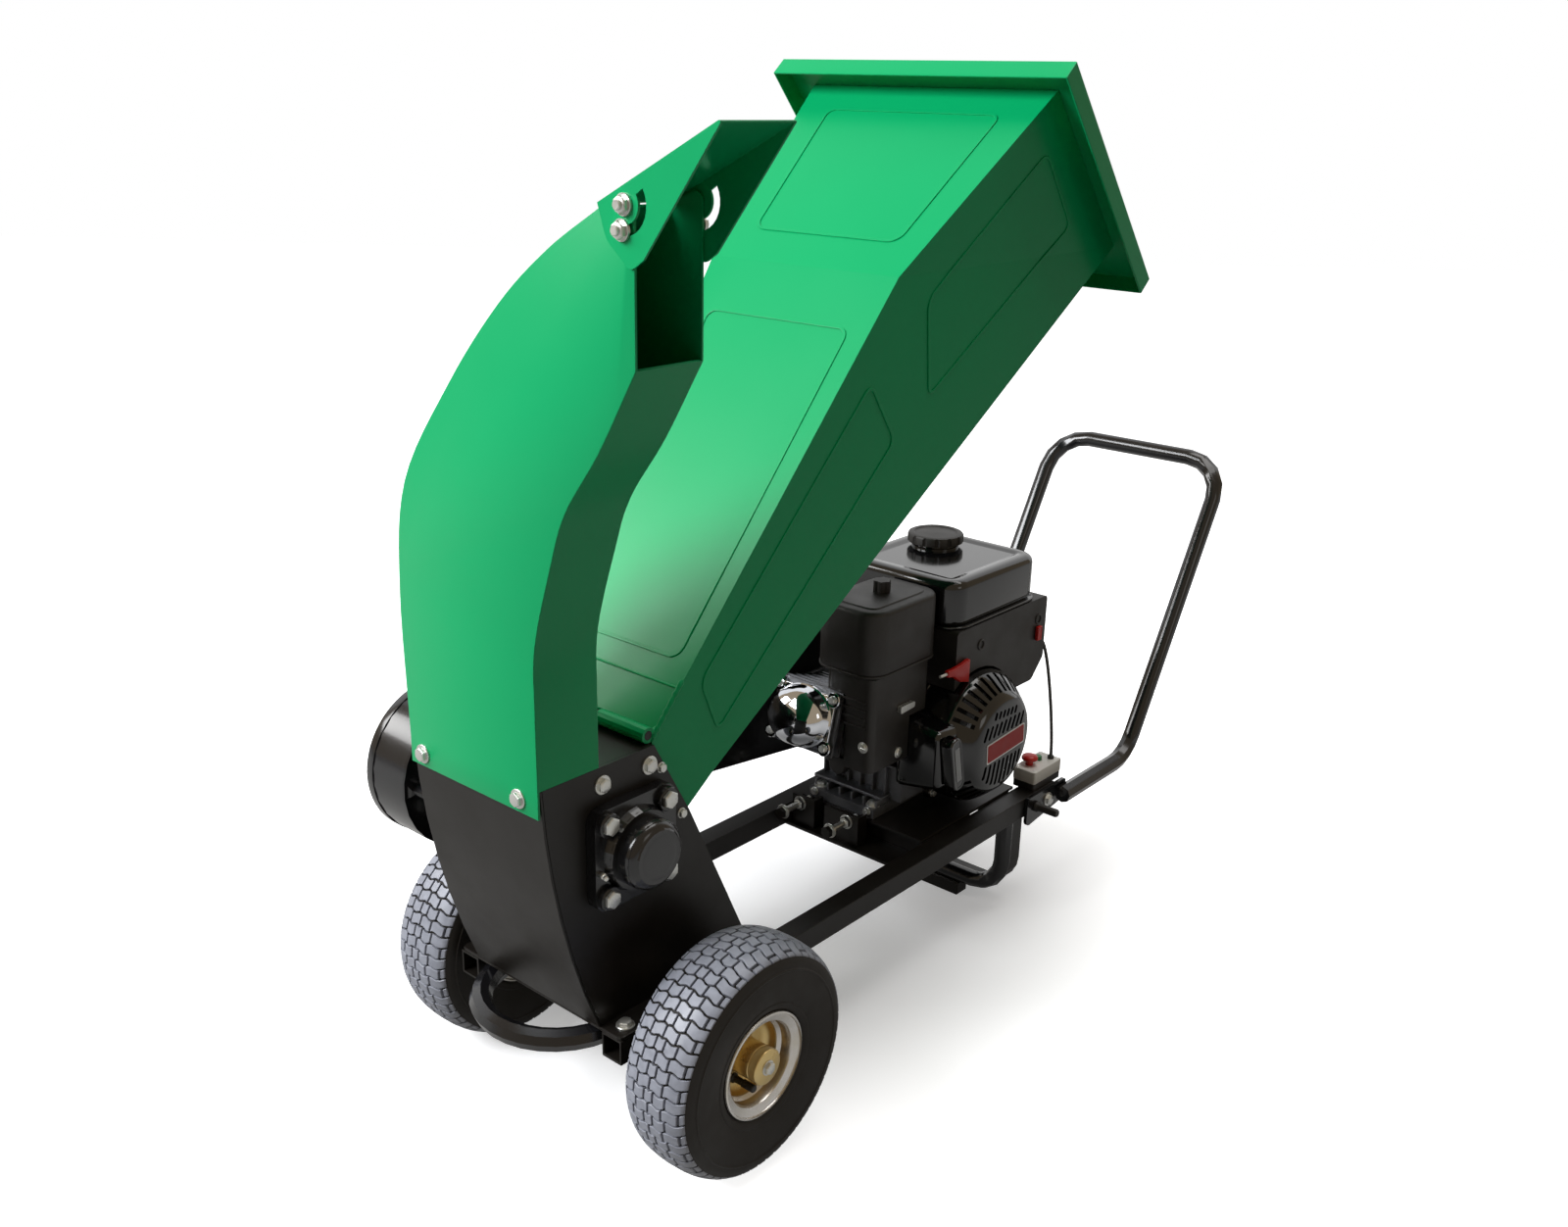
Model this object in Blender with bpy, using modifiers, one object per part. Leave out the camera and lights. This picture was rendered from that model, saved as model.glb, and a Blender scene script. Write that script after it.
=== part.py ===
"""Petrol chipper shredder on a two-wheel frame.

Metres, +Z up. The origin is the middle of the rear foot's sole, on the floor and on the centre
plane. +Y points to the push handle, +X to the side where the chips come out.
"""
import math

import bmesh
import bpy
from mathutils import Matrix, Vector

# Gaps
SEAT = 0.0003            # between pieces that touch
RUNNING = 0.0010         # between pieces that turn or slide

# Wheels and axle
WHEELBASE = 0.661        # axle to rear foot
TYRE_RADIUS = 0.137
TYRE_WIDTH = 0.096
TREAD_WIDTH = 0.074
TYRE_WALL = 0.007
TYRE_STEPS = 26          # facets round a tyre
TYRE_CLEARANCE = 0.015   # tyre to rail
RIM_RADIUS = 0.062       # over the rim flange
RIM_WIDTH = 0.086
BEAD_SEAT_RADIUS = 0.0508
BEAD_INSET = 0.005       # bead seat's edge inside the rim's
RIM_SHEET = 0.0030
HUB_RADIUS = 0.022
HUB_LENGTH = 0.070
AXLE_RADIUS = 0.008
COLLAR_RADIUS = 0.013
COLLAR_LENGTH = 0.010

# Frame
RAIL_SIDE = 0.030
RAIL_WALL = 0.0025
RAIL_SPACING = 0.240     # between the rails' centre lines
RAIL_FRONT = 0.1135      # rails run this far ahead of the axle
RAIL_LENGTH = 0.880
LOOP_TUBE_RADIUS = 0.013
LOOP_AHEAD = 0.077       # centre of the loop's half ring ahead of the axle
LOOP_ARM = 0.110
PLATE = 0.004            # base plate, engine plate and housing sides

# Chipping housing
SHEET = 0.003
HOUSING_WIDTH = 0.204
ROTOR_AHEAD = 0.069      # rotor axis ahead of the axle
ROTOR_RISE = 0.205       # rotor axis above the base plate
HOUSING_TOP = 0.099      # housing top above the rotor axis
HOUSING_FRONT_TOP = 0.116
HOUSING_FRONT_MID = 0.1005
HOUSING_FRONT_MID_DROP = 0.026
HOUSING_FRONT_FOOT = 0.0455
THROAT_FRONT = 0.040     # hopper throat, behind the rotor axis
THROAT_REAR = 0.094
THROAT_REAR_RISE = 0.003
HOUSING_REAR_FOOT = 0.194

# Rotor
KNIFE_RADIUS = 0.080
DRUM_RADIUS = 0.072
KNIFE_THICKNESS = 0.008
KNIFE_WIDTH = 0.040
SHAFT_RADIUS = 0.015
ROTOR_SIDE_GAP = 0.0095  # drum and knives to the housing sides
ANVIL_GAP = 0.0015
ANVIL_HEIGHT = 0.022

# Flange bearings
BEARING_SIDE = 0.116
BEARING_CORNER = 0.016
BEARING_THICKNESS = 0.014
BEARING_BOLT_SPACING = 0.084
BEARING_BOSS_RADIUS = 0.044
BEARING_BOSS_HEIGHT = 0.010
BEARING_CAP_RADIUS = 0.038
BEARING_CAP_HEIGHT = 0.024

# Discharge chute and deflector
CHUTE_DEPTH = 0.081
CHUTE_SHEET = 0.0025
CHUTE_LAP = 0.030        # front plate hangs over the housing
CHUTE_RISE = 0.560       # housing top to the outer wall's end
CHUTE_THROW = 0.206      # centre plane to the outer wall's end
PIVOT_FROM_END = (0.032, 0.004)
CHUTE_EAR = 0.0075       # plate left round the pivot
DEFLECTOR_BOLT = 0.0040
CLAMP_RADIUS = 0.0202
FLAP_REACH = 0.156       # along the flap's top
FLAP_SLOPE = math.radians(26.7)
FLAP_LIFT = 0.0036       # flap's top over the end of the outer wall
FLAP_SIDE_GAP = 0.0005

# Hopper
HOPPER_SHEET = 0.0025
HOPPER_SIDE_GAP = 0.001
LIP_LENGTH = 0.062       # throat front plate
LIP_SLOPE = math.radians(54.0)
NECK_DEPTH = 0.126       # hopper depth above the throat
LOWER_LENGTH = 0.509     # front face, throat to bend
LOWER_SLOPE = math.radians(53.4)
UPPER_LENGTH = 0.306     # front face, bend to mouth
UPPER_SLOPE = math.radians(40.2)
BEND_DEPTH = 0.265
BEND_HALF_WIDTH = 0.140
MOUTH_DEPTH = 0.246
MOUTH_HALF_WIDTH = 0.182
MOUTH_TILT = math.radians(41.3)
RIM_OUT_WIDTH = 0.434
RIM_OUT_DEPTH = 0.340
RIM_FOLD = 0.026
RIM_TOP_OVERHANG = 0.038
RIM_SEAT = 0.0008        # frame to the funnel's flared edge
HINGE_RADIUS = 0.009
HINGE_PIN_RADIUS = 0.005
HINGE_LENGTH = 0.192
HINGE_LUG_SPACING = 0.040
HINGE_LUG = 0.004
TONGUE_RISE = 0.003      # side tongues of the throat, above and below its front foot
TONGUE_DEPTH = 0.040

# Belt drive
GUARD_OUTER = 0.2296     # guard's outer face from the centre plane
GUARD_DEPTH = 0.067
GUARD_SHEET = 0.0025
GUARD_FRONT_RADIUS = 0.0926
GUARD_REAR_RADIUS = 0.078
STANDOFF_RADIUS = 0.006
STANDOFF_CIRCLE = 0.075  # standoffs round the rotor axis
DRIVEN_RADIUS = 0.072
DRIVE_RADIUS = 0.045
PULLEY_WIDTH = 0.024
BELT_WIDTH = 0.013
BELT_HEIGHT = 0.009
BELT_TAPER = 0.0025      # half width lost over the belt's height
BELT_SINK = 0.0015       # belt's top below the pulley's rim
GROOVE_FLOOR = 0.014     # groove depth below the pulley's rim

# Engine
CRANK_BEHIND = 0.614     # crankshaft axis behind the axle
CRANK_HEIGHT = 0.106     # above the engine's base
CRANK_RADIUS = 0.0125
BASE_FRONT = 0.140       # base ahead of the crankshaft
BASE_REAR = 0.086
BASE_LEFT = -0.095
BASE_RIGHT = 0.020
BASE_THICKNESS = 0.014
CASE_RADIUS = 0.088
CASE_RIGHT = 0.040
CYLINDER_SLOPE = math.radians(15.0)
CYLINDER_X = -0.040
FIN_SIZE = 0.110
FIN_PITCH = 0.0155
FIN_THICKNESS = 0.004
FIN_COUNT = 7
DECK_DISTANCE = 0.098    # crankshaft axis to the cylinder's foot
DECK_HALF = 0.040
HEAD_DISTANCE = 0.232    # crankshaft axis to the rocker cover's joint
ROCKER_HEIGHT = 0.042
ROCKER_FLANGE = (0.058, 0.044)     # half width and half height
ROCKER_CORNER = 0.016
ROCKER_SHEET = 0.005
ROCKER_SHOULDERS = ((0.003, 0.018), (0.012, 0.031))   # below the crown, radius
ROCKER_FOOT = ((0.003, 0.041), (0.016, 0.038))        # above the flange, radius
RECOIL_FACE = 0.136      # recoil dome from the centre plane
RECOIL_RADIUS = 0.095
RECOIL_DOME_RADIUS = 0.078
RECOIL_SHEET = 0.003
RECOIL_DROPS = (0.012, 0.024, 0.032)   # dome's edge, shoulder and side below the face
RECOIL_BEVELS = (0.014, 0.006)         # of the dome and of the shoulder
VENTS = 12
VENT_SIZE = (0.050, 0.006, 0.026)  # depth, width, length
VENT_RADIUS = 0.049
ROPE_GUIDE = (0.020, 0.026, 0.046, 0.056)  # ahead, behind, half heights ahead and behind
ROPE_HOLE = 0.0035
GRIP_FROM_CRANK = (0.106, 0.002)   # ahead, above
GRIP_INSET = 0.022           # behind the recoil cover's face
FLYWHEEL_RADIUS = 0.082
FLYWHEEL_RIM = 0.016         # thickness
FLYWHEEL_HUB = (0.034, 0.030, 0.030)   # foot radius, face radius, height
FAN_BLADES = 10
FAN_BLADE = (0.016, 0.003, 0.030)      # height, thickness, length
FAN_BLADE_RADIUS = 0.064
FLYWHEEL_GAP = 0.006         # flywheel to crankcase
TANK_RIGHT = 0.080
TANK_WIDTH = 0.198
TANK_LENGTH = 0.213
TANK_HEIGHT = 0.062
TANK_AHEAD = 0.059       # tank's front edge ahead of the crankshaft
TANK_TOP = 0.333         # above the engine's base
CAP_RADIUS = 0.041
CAP_HEIGHT = 0.018
CAP_X = -0.056
FILTER_RIGHT = 0.066
FILTER_WIDTH = 0.106
FILTER_LENGTH = 0.150
FILTER_HEIGHT = 0.092
FILTER_BODY_HEIGHT = 0.132
FILTER_TO_TANK = 0.005   # gap between the filter cover and the tank
FILTER_TOP = 0.330
FILTER_INSET = 0.003     # lower housing inside the cover
FILTER_BODY_WIDTH = 0.080
FILTER_BODY_SIDE = 0.050 # depth of the lower housing on its hidden side
FILTER_BODY_NECK = 0.033 # width that is left at its rear, beside the crankcase
FILTER_BODY_REAR = 0.012 # its rear, ahead of the cover's
PANEL_FACE = 0.086
PANEL_LEFT = -0.060
PANEL_REAR = 0.172       # behind the crankshaft
PANEL_RISE = 0.040       # panel's lower edge above the crankshaft
MUFFLER_WIDTH = 0.056

# Engine mount and belt adjusters
ENGINE_PLATE_FRONT = 0.440   # behind the axle
ENGINE_PLATE_LENGTH = 0.200
ENGINE_PLATE_EDGE = 0.005    # inside the rails' outer faces
TAB_SETBACK = 0.008
TAB_THICKNESS = 0.005
TAB_HEIGHT = 0.044
GUSSET_LENGTH = 0.015
ADJUSTER_TABS = ((-0.104, -0.064), (-0.046, 0.014))   # left and right edges
ADJUSTER_BOLTS = (-0.090, -0.006)
ADJUSTER_RADIUS = 0.0040
ADJUSTER_OUT = 0.042         # bolt's end ahead of its tab
ADJUSTER_HEAD = 0.0085
ADJUSTER_HEAD_HEIGHT = 0.0065
SLIDE_AHEAD = 0.004          # cradle's front edge ahead of the engine's base
BEARERS_BEHIND = (-0.126, 0.045)   # front edges of the two bearers, behind the crankshaft

# Push handle
HANDLE_TUBE_RADIUS = 0.013
HANDLE_PIVOT_INSET = 0.0265  # ahead of the rails' rear ends
HANDLE_PIVOT_DROP = 0.003    # below the rails' middle
HANDLE_LOWER_RUN = 0.208
HANDLE_RISE_ANGLE = math.radians(60.5)
HANDLE_RISE_LENGTH = 0.492
HANDLE_BEND = 0.062
HANDLE_PLATE = 0.005
HANDLE_PLATE_LENGTH = 0.105
HANDLE_PLATE_HEIGHT = 0.045
PIN_AHEAD = 0.032
PIN_RADIUS = 0.006
PIN_LENGTH = 0.042

# Rear leg
LEG_TUBE_RADIUS = 0.0125
LEG_SPACING = 0.244
LEG_BEND = 0.048
FOOT_HEIGHT = 0.0212
FOOT_DEPTH = 0.026
FOOT_WIDTH = 0.108
STRAP_WIDTH = 0.034
STRAP_THICKNESS = 0.005

# Fasteners
M5_HEAD = 0.0050
M5_HEIGHT = 0.0040
M8_HEAD = 0.0075
M8_HEIGHT = 0.0055
M12_HEAD = 0.0100
M12_HEIGHT = 0.0100
AXLE_NUT = 0.0120
AXLE_NUT_HEIGHT = 0.010
HANDLE_BOLT = 0.0045

SIDE_BOLTS = (           # from the rotor axis: behind, above, head radius and height
    (-0.034, 0.079, M8_HEAD, M8_HEIGHT),
    (0.0325, 0.0785, M8_HEAD, M8_HEIGHT),
    (0.050, 0.070, M5_HEAD, M5_HEIGHT),
    (0.081, 0.005, M5_HEAD, M5_HEIGHT),
)

# Places worked out from the sizes above
AXLE_Y = -WHEELBASE
AXLE_Z = TYRE_RADIUS
RAIL_BOTTOM = AXLE_Z + AXLE_RADIUS + SEAT
RAIL_TOP = RAIL_BOTTOM + RAIL_SIDE
RAIL_Y0 = AXLE_Y - RAIL_FRONT
RAIL_Y1 = RAIL_Y0 + RAIL_LENGTH
RAIL_INNER = RAIL_SPACING / 2 - RAIL_SIDE / 2
RAIL_OUTER = RAIL_SPACING / 2 + RAIL_SIDE / 2
TRACK = 2 * RAIL_OUTER + 2 * TYRE_CLEARANCE + TYRE_WIDTH
HALF = HOUSING_WIDTH / 2
INNER_HALF = HALF - PLATE
BASE_PLATE_TOP = RAIL_TOP + SEAT + PLATE
ROTOR_Y = AXLE_Y - ROTOR_AHEAD
ROTOR_Z = BASE_PLATE_TOP + ROTOR_RISE
HOUSING_FOOT = -ROTOR_RISE + SEAT
CRANK_Y = AXLE_Y + CRANK_BEHIND
ENGINE_BASE = RAIL_TOP + SEAT + PLATE + SEAT
CRANK_Z = ENGINE_BASE + CRANK_HEIGHT
BELT_X = -(GUARD_OUTER - GUARD_DEPTH / 2)
FILTER_AHEAD = TANK_AHEAD + FILTER_TO_TANK + FILTER_LENGTH   # filter's front, ahead of the crankshaft

# Colours and finishes: colour, roughness, metallic
FINISHES = {
    "green_enamel": ((0.010, 0.500, 0.190), 0.35, 0.0),
    "black_powder_coat": ((0.012, 0.011, 0.010), 0.45, 0.0),
    "black_plastic": ((0.010, 0.010, 0.010), 0.50, 0.0),
    "rubber": ((0.030, 0.030, 0.032), 0.85, 0.0),
    "rim_steel": ((0.560, 0.560, 0.540), 0.35, 1.0),
    "zinc": ((0.620, 0.640, 0.660), 0.30, 1.0),
    "knife_steel": ((0.450, 0.450, 0.460), 0.25, 1.0),
    "cast_aluminium": ((0.300, 0.300, 0.310), 0.50, 1.0),
    "chrome": ((0.750, 0.760, 0.780), 0.08, 1.0),
    "white_plastic": ((0.700, 0.690, 0.640), 0.45, 0.0),
    "red_plastic": ((0.650, 0.020, 0.015), 0.40, 0.0),
    "green_plastic": ((0.010, 0.250, 0.060), 0.40, 0.0),
}

ACROSS = (math.radians(90), 0.0, math.radians(90))   # local x, y, z to world Y, Z, X
FACING = (math.radians(90), 0.0, 0.0)                # local x, y, z to world X, Z, -Y


# Helpers
def start():
    """Empty the scene and make the two collections."""
    for obj in list(bpy.data.objects):
        bpy.data.objects.remove(obj)
    made = []
    for name in ("chipper_shredder", "cutters"):
        group = bpy.data.collections.new(name)
        bpy.context.scene.collection.children.link(group)
        made.append(group)
    return made


PARTS, CUTTERS = start()


def finish(name):
    """Material of that name, made once."""
    if name in bpy.data.materials:
        return bpy.data.materials[name]
    colour, roughness, metallic = FINISHES[name]
    made = bpy.data.materials.new(name)
    made.use_nodes = True
    shader = made.node_tree.nodes["Principled BSDF"]
    shader.inputs["Base Color"].default_value = (*colour, 1.0)
    shader.inputs["Roughness"].default_value = roughness
    shader.inputs["Metallic"].default_value = metallic
    return made


def part(name, data, material, location=(0, 0, 0), rotation=(0, 0, 0)):
    """Put mesh or curve data into the object's collection as a named part."""
    obj = bpy.data.objects.new(name, data)
    obj.location = location
    obj.rotation_euler = rotation
    PARTS.objects.link(obj)
    data.materials.clear()
    data.materials.append(finish(material))
    return obj


def mesh_of(bm):
    """Mesh data from a bmesh."""
    data = bpy.data.meshes.new("shape")
    bmesh.ops.recalc_face_normals(bm, faces=bm.faces)
    bm.to_mesh(data)
    bm.free()
    return data


def add_box(bm, low, high):
    """Add a box between two corners."""
    size = [b - a for a, b in zip(low, high)]
    middle = [(a + b) / 2 for a, b in zip(low, high)]
    bmesh.ops.create_cube(bm, size=1.0, matrix=Matrix.Translation(middle) @ Matrix.Diagonal((*size, 1)))


def add_rod(bm, start_point, end_point, radius, sides=12):
    """Add a cylinder or prism between two points."""
    a, b = Vector(start_point), Vector(end_point)
    turn = (b - a).to_track_quat("Z", "Y").to_matrix().to_4x4()
    bmesh.ops.create_cone(bm, cap_ends=True, segments=sides, radius1=radius, radius2=radius,
                          depth=(b - a).length, matrix=Matrix.Translation((a + b) / 2) @ turn)


def boxes(*corners):
    """Mesh of separate boxes."""
    bm = bmesh.new()
    for low, high in corners:
        add_box(bm, low, high)
    return mesh_of(bm)


def arc(centre, radius, first, last, steps):
    """Points on an arc, angles in degrees, both ends included."""
    angles = [math.radians(first + (last - first) * i / steps) for i in range(steps + 1)]
    return [(centre[0] + radius * math.cos(a), centre[1] + radius * math.sin(a)) for a in angles]


def arc_through(first, middle, last, steps):
    """Points on the arc through three points."""
    (ax, ay), (bx, by), (cx, cy) = first, middle, last
    d = 2 * (ax * (by - cy) + bx * (cy - ay) + cx * (ay - by))
    sa, sb, sc = ax * ax + ay * ay, bx * bx + by * by, cx * cx + cy * cy
    ux = (sa * (by - cy) + sb * (cy - ay) + sc * (ay - by)) / d
    uy = (sa * (cx - bx) + sb * (ax - cx) + sc * (bx - ax)) / d
    start_angle = math.atan2(ay - uy, ax - ux)
    sweep = math.atan2(cy - uy, cx - ux) - start_angle
    sweep = (sweep + math.pi) % (2 * math.pi) - math.pi
    radius = math.hypot(ax - ux, ay - uy)
    return arc((ux, uy), radius, math.degrees(start_angle), math.degrees(start_angle + sweep), steps)


def smooth_through(points, steps):
    """Catmull-Rom curve through 2D points."""
    p = [Vector(q) for q in points]
    p = [2 * p[0] - p[1]] + p + [2 * p[-1] - p[-2]]
    made = []
    for a, b, c, d in zip(p, p[1:], p[2:], p[3:]):
        for i in range(steps):
            t = i / steps
            made.append((2 * b + (c - a) * t + (2 * a - 5 * b + 4 * c - d) * t ** 2
                         + (3 * b - 3 * c + d - a) * t ** 3) / 2)
    return [tuple(q) for q in made] + [tuple(p[-2])]


def beside(path, distance):
    """Open path moved sideways to its left, with mitred corners."""
    pts = [Vector(q) for q in path]
    made = []
    for i, q in enumerate(pts):
        before = (q - pts[i - 1]).normalized() if i else (pts[1] - q).normalized()
        after = (pts[i + 1] - q).normalized() if i < len(pts) - 1 else before
        normal = (Vector((-before.y, before.x)) + Vector((-after.y, after.x))).normalized()
        made.append(tuple(q + normal * distance / normal.dot(Vector((-after.y, after.x)))))
    return made


def foot_at(path, height):
    """Slide an open path's first point along its segment to a height."""
    (ax, az), (bx, bz) = path[0], path[1]
    return [(ax + (bx - ax) * (height - az) / (bz - az), height)] + path[1:]


def rounded(points, radii, steps=4):
    """Closed 2D outline with its corners rounded."""
    made = []
    count = len(points)
    for i, (q, radius) in enumerate(zip(points, radii)):
        q = Vector(q)
        to_before = (Vector(points[i - 1]) - q).normalized()
        to_after = (Vector(points[(i + 1) % count]) - q).normalized()
        if radius <= 0:
            made.append(tuple(q))
            continue
        half = to_before.angle(to_after) / 2
        centre = q + (to_before + to_after).normalized() * radius / math.sin(half)
        a = (q + to_before * radius / math.tan(half) - centre).normalized()
        b = (q + to_after * radius / math.tan(half) - centre).normalized()
        for k in range(steps + 1):
            made.append(tuple(centre + a.slerp(b, k / steps) * radius))
    return made


def rounded_path(points, radius, steps=4):
    """Open 3D path with its inner corners rounded."""
    pts = [Vector(q) for q in points]
    made = [pts[0]]
    for before, q, after in zip(pts, pts[1:], pts[2:]):
        back, ahead = (before - q).normalized(), (after - q).normalized()
        half = back.angle(ahead) / 2
        centre = q + (back + ahead).normalized() * radius / math.sin(half)
        a = (q + back * radius / math.tan(half) - centre).normalized()
        b = (q + ahead * radius / math.tan(half) - centre).normalized()
        made += [centre + a.slerp(b, k / steps) * radius for k in range(steps + 1)]
    return made + [pts[-1]]


def flat(outline, thickness, holes=()):
    """Flat 2D curve data, filled on both sides and extruded half its thickness each way."""
    data = bpy.data.curves.new("outline", "CURVE")
    data.dimensions = "2D"
    data.fill_mode = "BOTH"
    data.extrude = thickness / 2
    for ring in (outline, *holes):
        spline = data.splines.new("POLY")
        spline.points.add(len(ring) - 1)
        for point, (x, y) in zip(spline.points, ring):
            point.co = (x, y, 0, 1)
        spline.use_cyclic_u = True
    return data


def pipe(points, radius, sides_level=2):
    """Round bar or tube as a POLY curve with filled caps."""
    data = bpy.data.curves.new("pipe", "CURVE")
    data.dimensions = "3D"
    data.bevel_depth = radius
    data.bevel_resolution = sides_level
    data.use_fill_caps = True
    spline = data.splines.new("POLY")
    spline.points.add(len(points) - 1)
    for point, q in zip(spline.points, points):
        point.co = (*q, 1)
    return data


def as_mesh(obj):
    """Turn a curve object into a mesh object with welded caps."""
    bpy.context.view_layer.update()
    graph = bpy.context.evaluated_depsgraph_get()
    data = bpy.data.meshes.new_from_object(obj.evaluated_get(graph))
    bm = bmesh.new()
    bm.from_mesh(data)
    bmesh.ops.remove_doubles(bm, verts=bm.verts, dist=0.00001)
    bmesh.ops.recalc_face_normals(bm, faces=bm.faces)
    bm.to_mesh(data)
    bm.free()
    name, place, old = obj.name, obj.matrix_world.copy(), obj.data
    made = bpy.data.objects.new(name, data)
    made.matrix_world = place
    PARTS.objects.link(made)
    bpy.data.objects.remove(obj)
    bpy.data.curves.remove(old)
    made.name = name
    return made


def turned(name, profile, material, location, axis="X", steps=24, closed=False):
    """Turned piece: (radius, height) points from top to bottom, heights along the axis."""
    bm = bmesh.new()
    verts = [bm.verts.new((radius, 0, height)) for radius, height in profile]
    for a, b in zip(verts, verts[1:]):
        bm.edges.new((a, b))
    if closed:
        bm.edges.new((verts[-1], verts[0]))
    data = bpy.data.meshes.new(name)
    bm.to_mesh(data)
    bm.free()
    turn = {"X": (0, math.radians(90), 0), "-X": (0, math.radians(-90), 0), "Z": (0, 0, 0),
            "-Y": (math.radians(90), 0, 0)}[axis]
    obj = part(name, data, material, location, turn)
    screw = obj.modifiers.new("turn", "SCREW")
    screw.steps = steps
    screw.render_steps = steps
    screw.use_merge_vertices = True
    screw.merge_threshold = 0.00001
    screw.use_smooth_shade = True
    return obj


def combine(target, other, operation):
    """Boolean the other object into the target and keep it as a cutter."""
    for group in list(other.users_collection):
        group.objects.unlink(other)
    CUTTERS.objects.link(other)
    other.hide_render = True
    other.display_type = "WIRE"
    other.name = "cut_" + other.name
    step = target.modifiers.new(operation.lower(), "BOOLEAN")
    step.operation = operation
    step.solver = "EXACT"
    step.object = other
    return target


def cut(target, other):
    """Cut the other object away from the target."""
    return combine(target, other, "DIFFERENCE")


def weld(target, other):
    """Join the other object to the target."""
    return combine(target, other, "UNION")


def round_edges(obj, width, segments=2, angle=40):
    """Bevel the sharp edges."""
    step = obj.modifiers.new("edges", "BEVEL")
    step.width = width
    step.segments = segments
    step.limit_method = "ANGLE"
    step.angle_limit = math.radians(angle)
    return obj


def bolt(target, surface, direction, radius, height, shank=0.0, grip=0.0):
    """Hexagon head joined to the piece that carries it, on a shank where it holds another piece."""
    direction = Vector(direction)
    surface = Vector(surface)
    bm = bmesh.new()
    foot = surface + direction * grip if shank else surface - direction * RUNNING
    add_rod(bm, foot, surface + direction * (grip + height), radius, 6)
    head = part("head", mesh_of(bm), "zinc")
    if shank:
        bm = bmesh.new()
        add_rod(bm, surface - direction * RUNNING, surface + direction * (grip + height / 2), shank)
        weld(target, part("shank", mesh_of(bm), "zinc"))
    return weld(target, head)


def from_rotor(path):
    """Points given from the rotor axis, as world (Y, Z)."""
    return [(ROTOR_Y + y, ROTOR_Z + z) for y, z in path]


def plate_across(name, outline, x0, x1, material, holes=()):
    """Plate whose (Y, Z) outline runs from x0 to x1."""
    return part(name, flat(outline, x1 - x0, holes), material, ((x0 + x1) / 2, 0, 0), ACROSS)


def plate_facing(name, outline, y0, y1, material, holes=()):
    """Plate whose (X, Z) outline runs from y0 to y1."""
    return part(name, flat(outline, y1 - y0, holes), material, (0, (y0 + y1) / 2, 0), FACING)


# Frame
def make_rails():
    """Two open-ended square tubes, bored for the handle's pivot bolts."""
    for side, sign in (("right", 1), ("left", -1)):
        x = sign * RAIL_SPACING / 2
        half, bore = RAIL_SIDE / 2, RAIL_SIDE / 2 - RAIL_WALL
        middle = RAIL_BOTTOM + half
        square = [(x - half, middle - half), (x + half, middle - half),
                  (x + half, middle + half), (x - half, middle + half)]
        inner = [(x - bore, middle - bore), (x + bore, middle - bore),
                 (x + bore, middle + bore), (x - bore, middle + bore)]
        rail = as_mesh(plate_facing("rail_" + side, square, RAIL_Y0, RAIL_Y1, "black_powder_coat", [inner]))
        y, z = handle_pivot()
        bm = bmesh.new()
        add_rod(bm, (sign * (RAIL_OUTER + RUNNING), y, z),
                (sign * (RAIL_OUTER - RAIL_WALL - RUNNING), y, z), HANDLE_BOLT + RUNNING / 2)
        cut(rail, part("bolt_hole", mesh_of(bm), "black_powder_coat"))


def make_front_loop():
    """Half ring of tube whose arms lie along the rails' inner faces."""
    radius = RAIL_INNER - LOOP_TUBE_RADIUS - SEAT
    z = RAIL_BOTTOM + RAIL_SIDE / 2
    centre_y = AXLE_Y - LOOP_AHEAD
    ring = arc((0, centre_y), radius, 0, -180, 16)
    arm_y = centre_y + LOOP_ARM
    points = [(radius, arm_y, z)] + [(x, y, z) for x, y in ring] + [(-radius, arm_y, z)]
    part("front_loop", pipe(points, LOOP_TUBE_RADIUS), "black_powder_coat")


def make_base_plate():
    """Floor of the housing, lying on both rails."""
    outline = rounded([(-RAIL_OUTER, RAIL_Y0), (RAIL_OUTER, RAIL_Y0),
                       (RAIL_OUTER, ROTOR_Y + HOUSING_REAR_FOOT + SEAT),
                       (-RAIL_OUTER, ROTOR_Y + HOUSING_REAR_FOOT + SEAT)], [0.006] * 4, 2)
    z = RAIL_TOP + SEAT + PLATE / 2
    base = as_mesh(part("base_plate", flat(outline, PLATE), "black_powder_coat", (0, 0, z)))
    for x in (-RAIL_SPACING / 2, RAIL_SPACING / 2):
        bolt(base, (x, RAIL_Y0 + 0.021, BASE_PLATE_TOP), (0, 0, 1), M8_HEAD, M8_HEIGHT)


def make_axle():
    """Round bar under the rails with a collar inside each wheel."""
    hub_in = TRACK / 2 - HUB_LENGTH / 2
    hub_out = TRACK / 2 + HUB_LENGTH / 2
    collar = hub_in - RUNNING
    end = hub_out + RUNNING
    cap = end + AXLE_NUT_HEIGHT
    profile = [(0, cap), (AXLE_NUT * 0.6, cap), (AXLE_NUT * 0.6, end + 0.003), (AXLE_NUT, end + 0.003),
               (AXLE_NUT, end), (AXLE_RADIUS, end), (AXLE_RADIUS, collar),
               (COLLAR_RADIUS, collar), (COLLAR_RADIUS, collar - COLLAR_LENGTH),
               (AXLE_RADIUS, collar - COLLAR_LENGTH)]
    profile += [(radius, -height) for radius, height in reversed(profile)]
    turned("axle", profile, "black_powder_coat", (0, AXLE_Y, AXLE_Z), steps=12)


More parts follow.
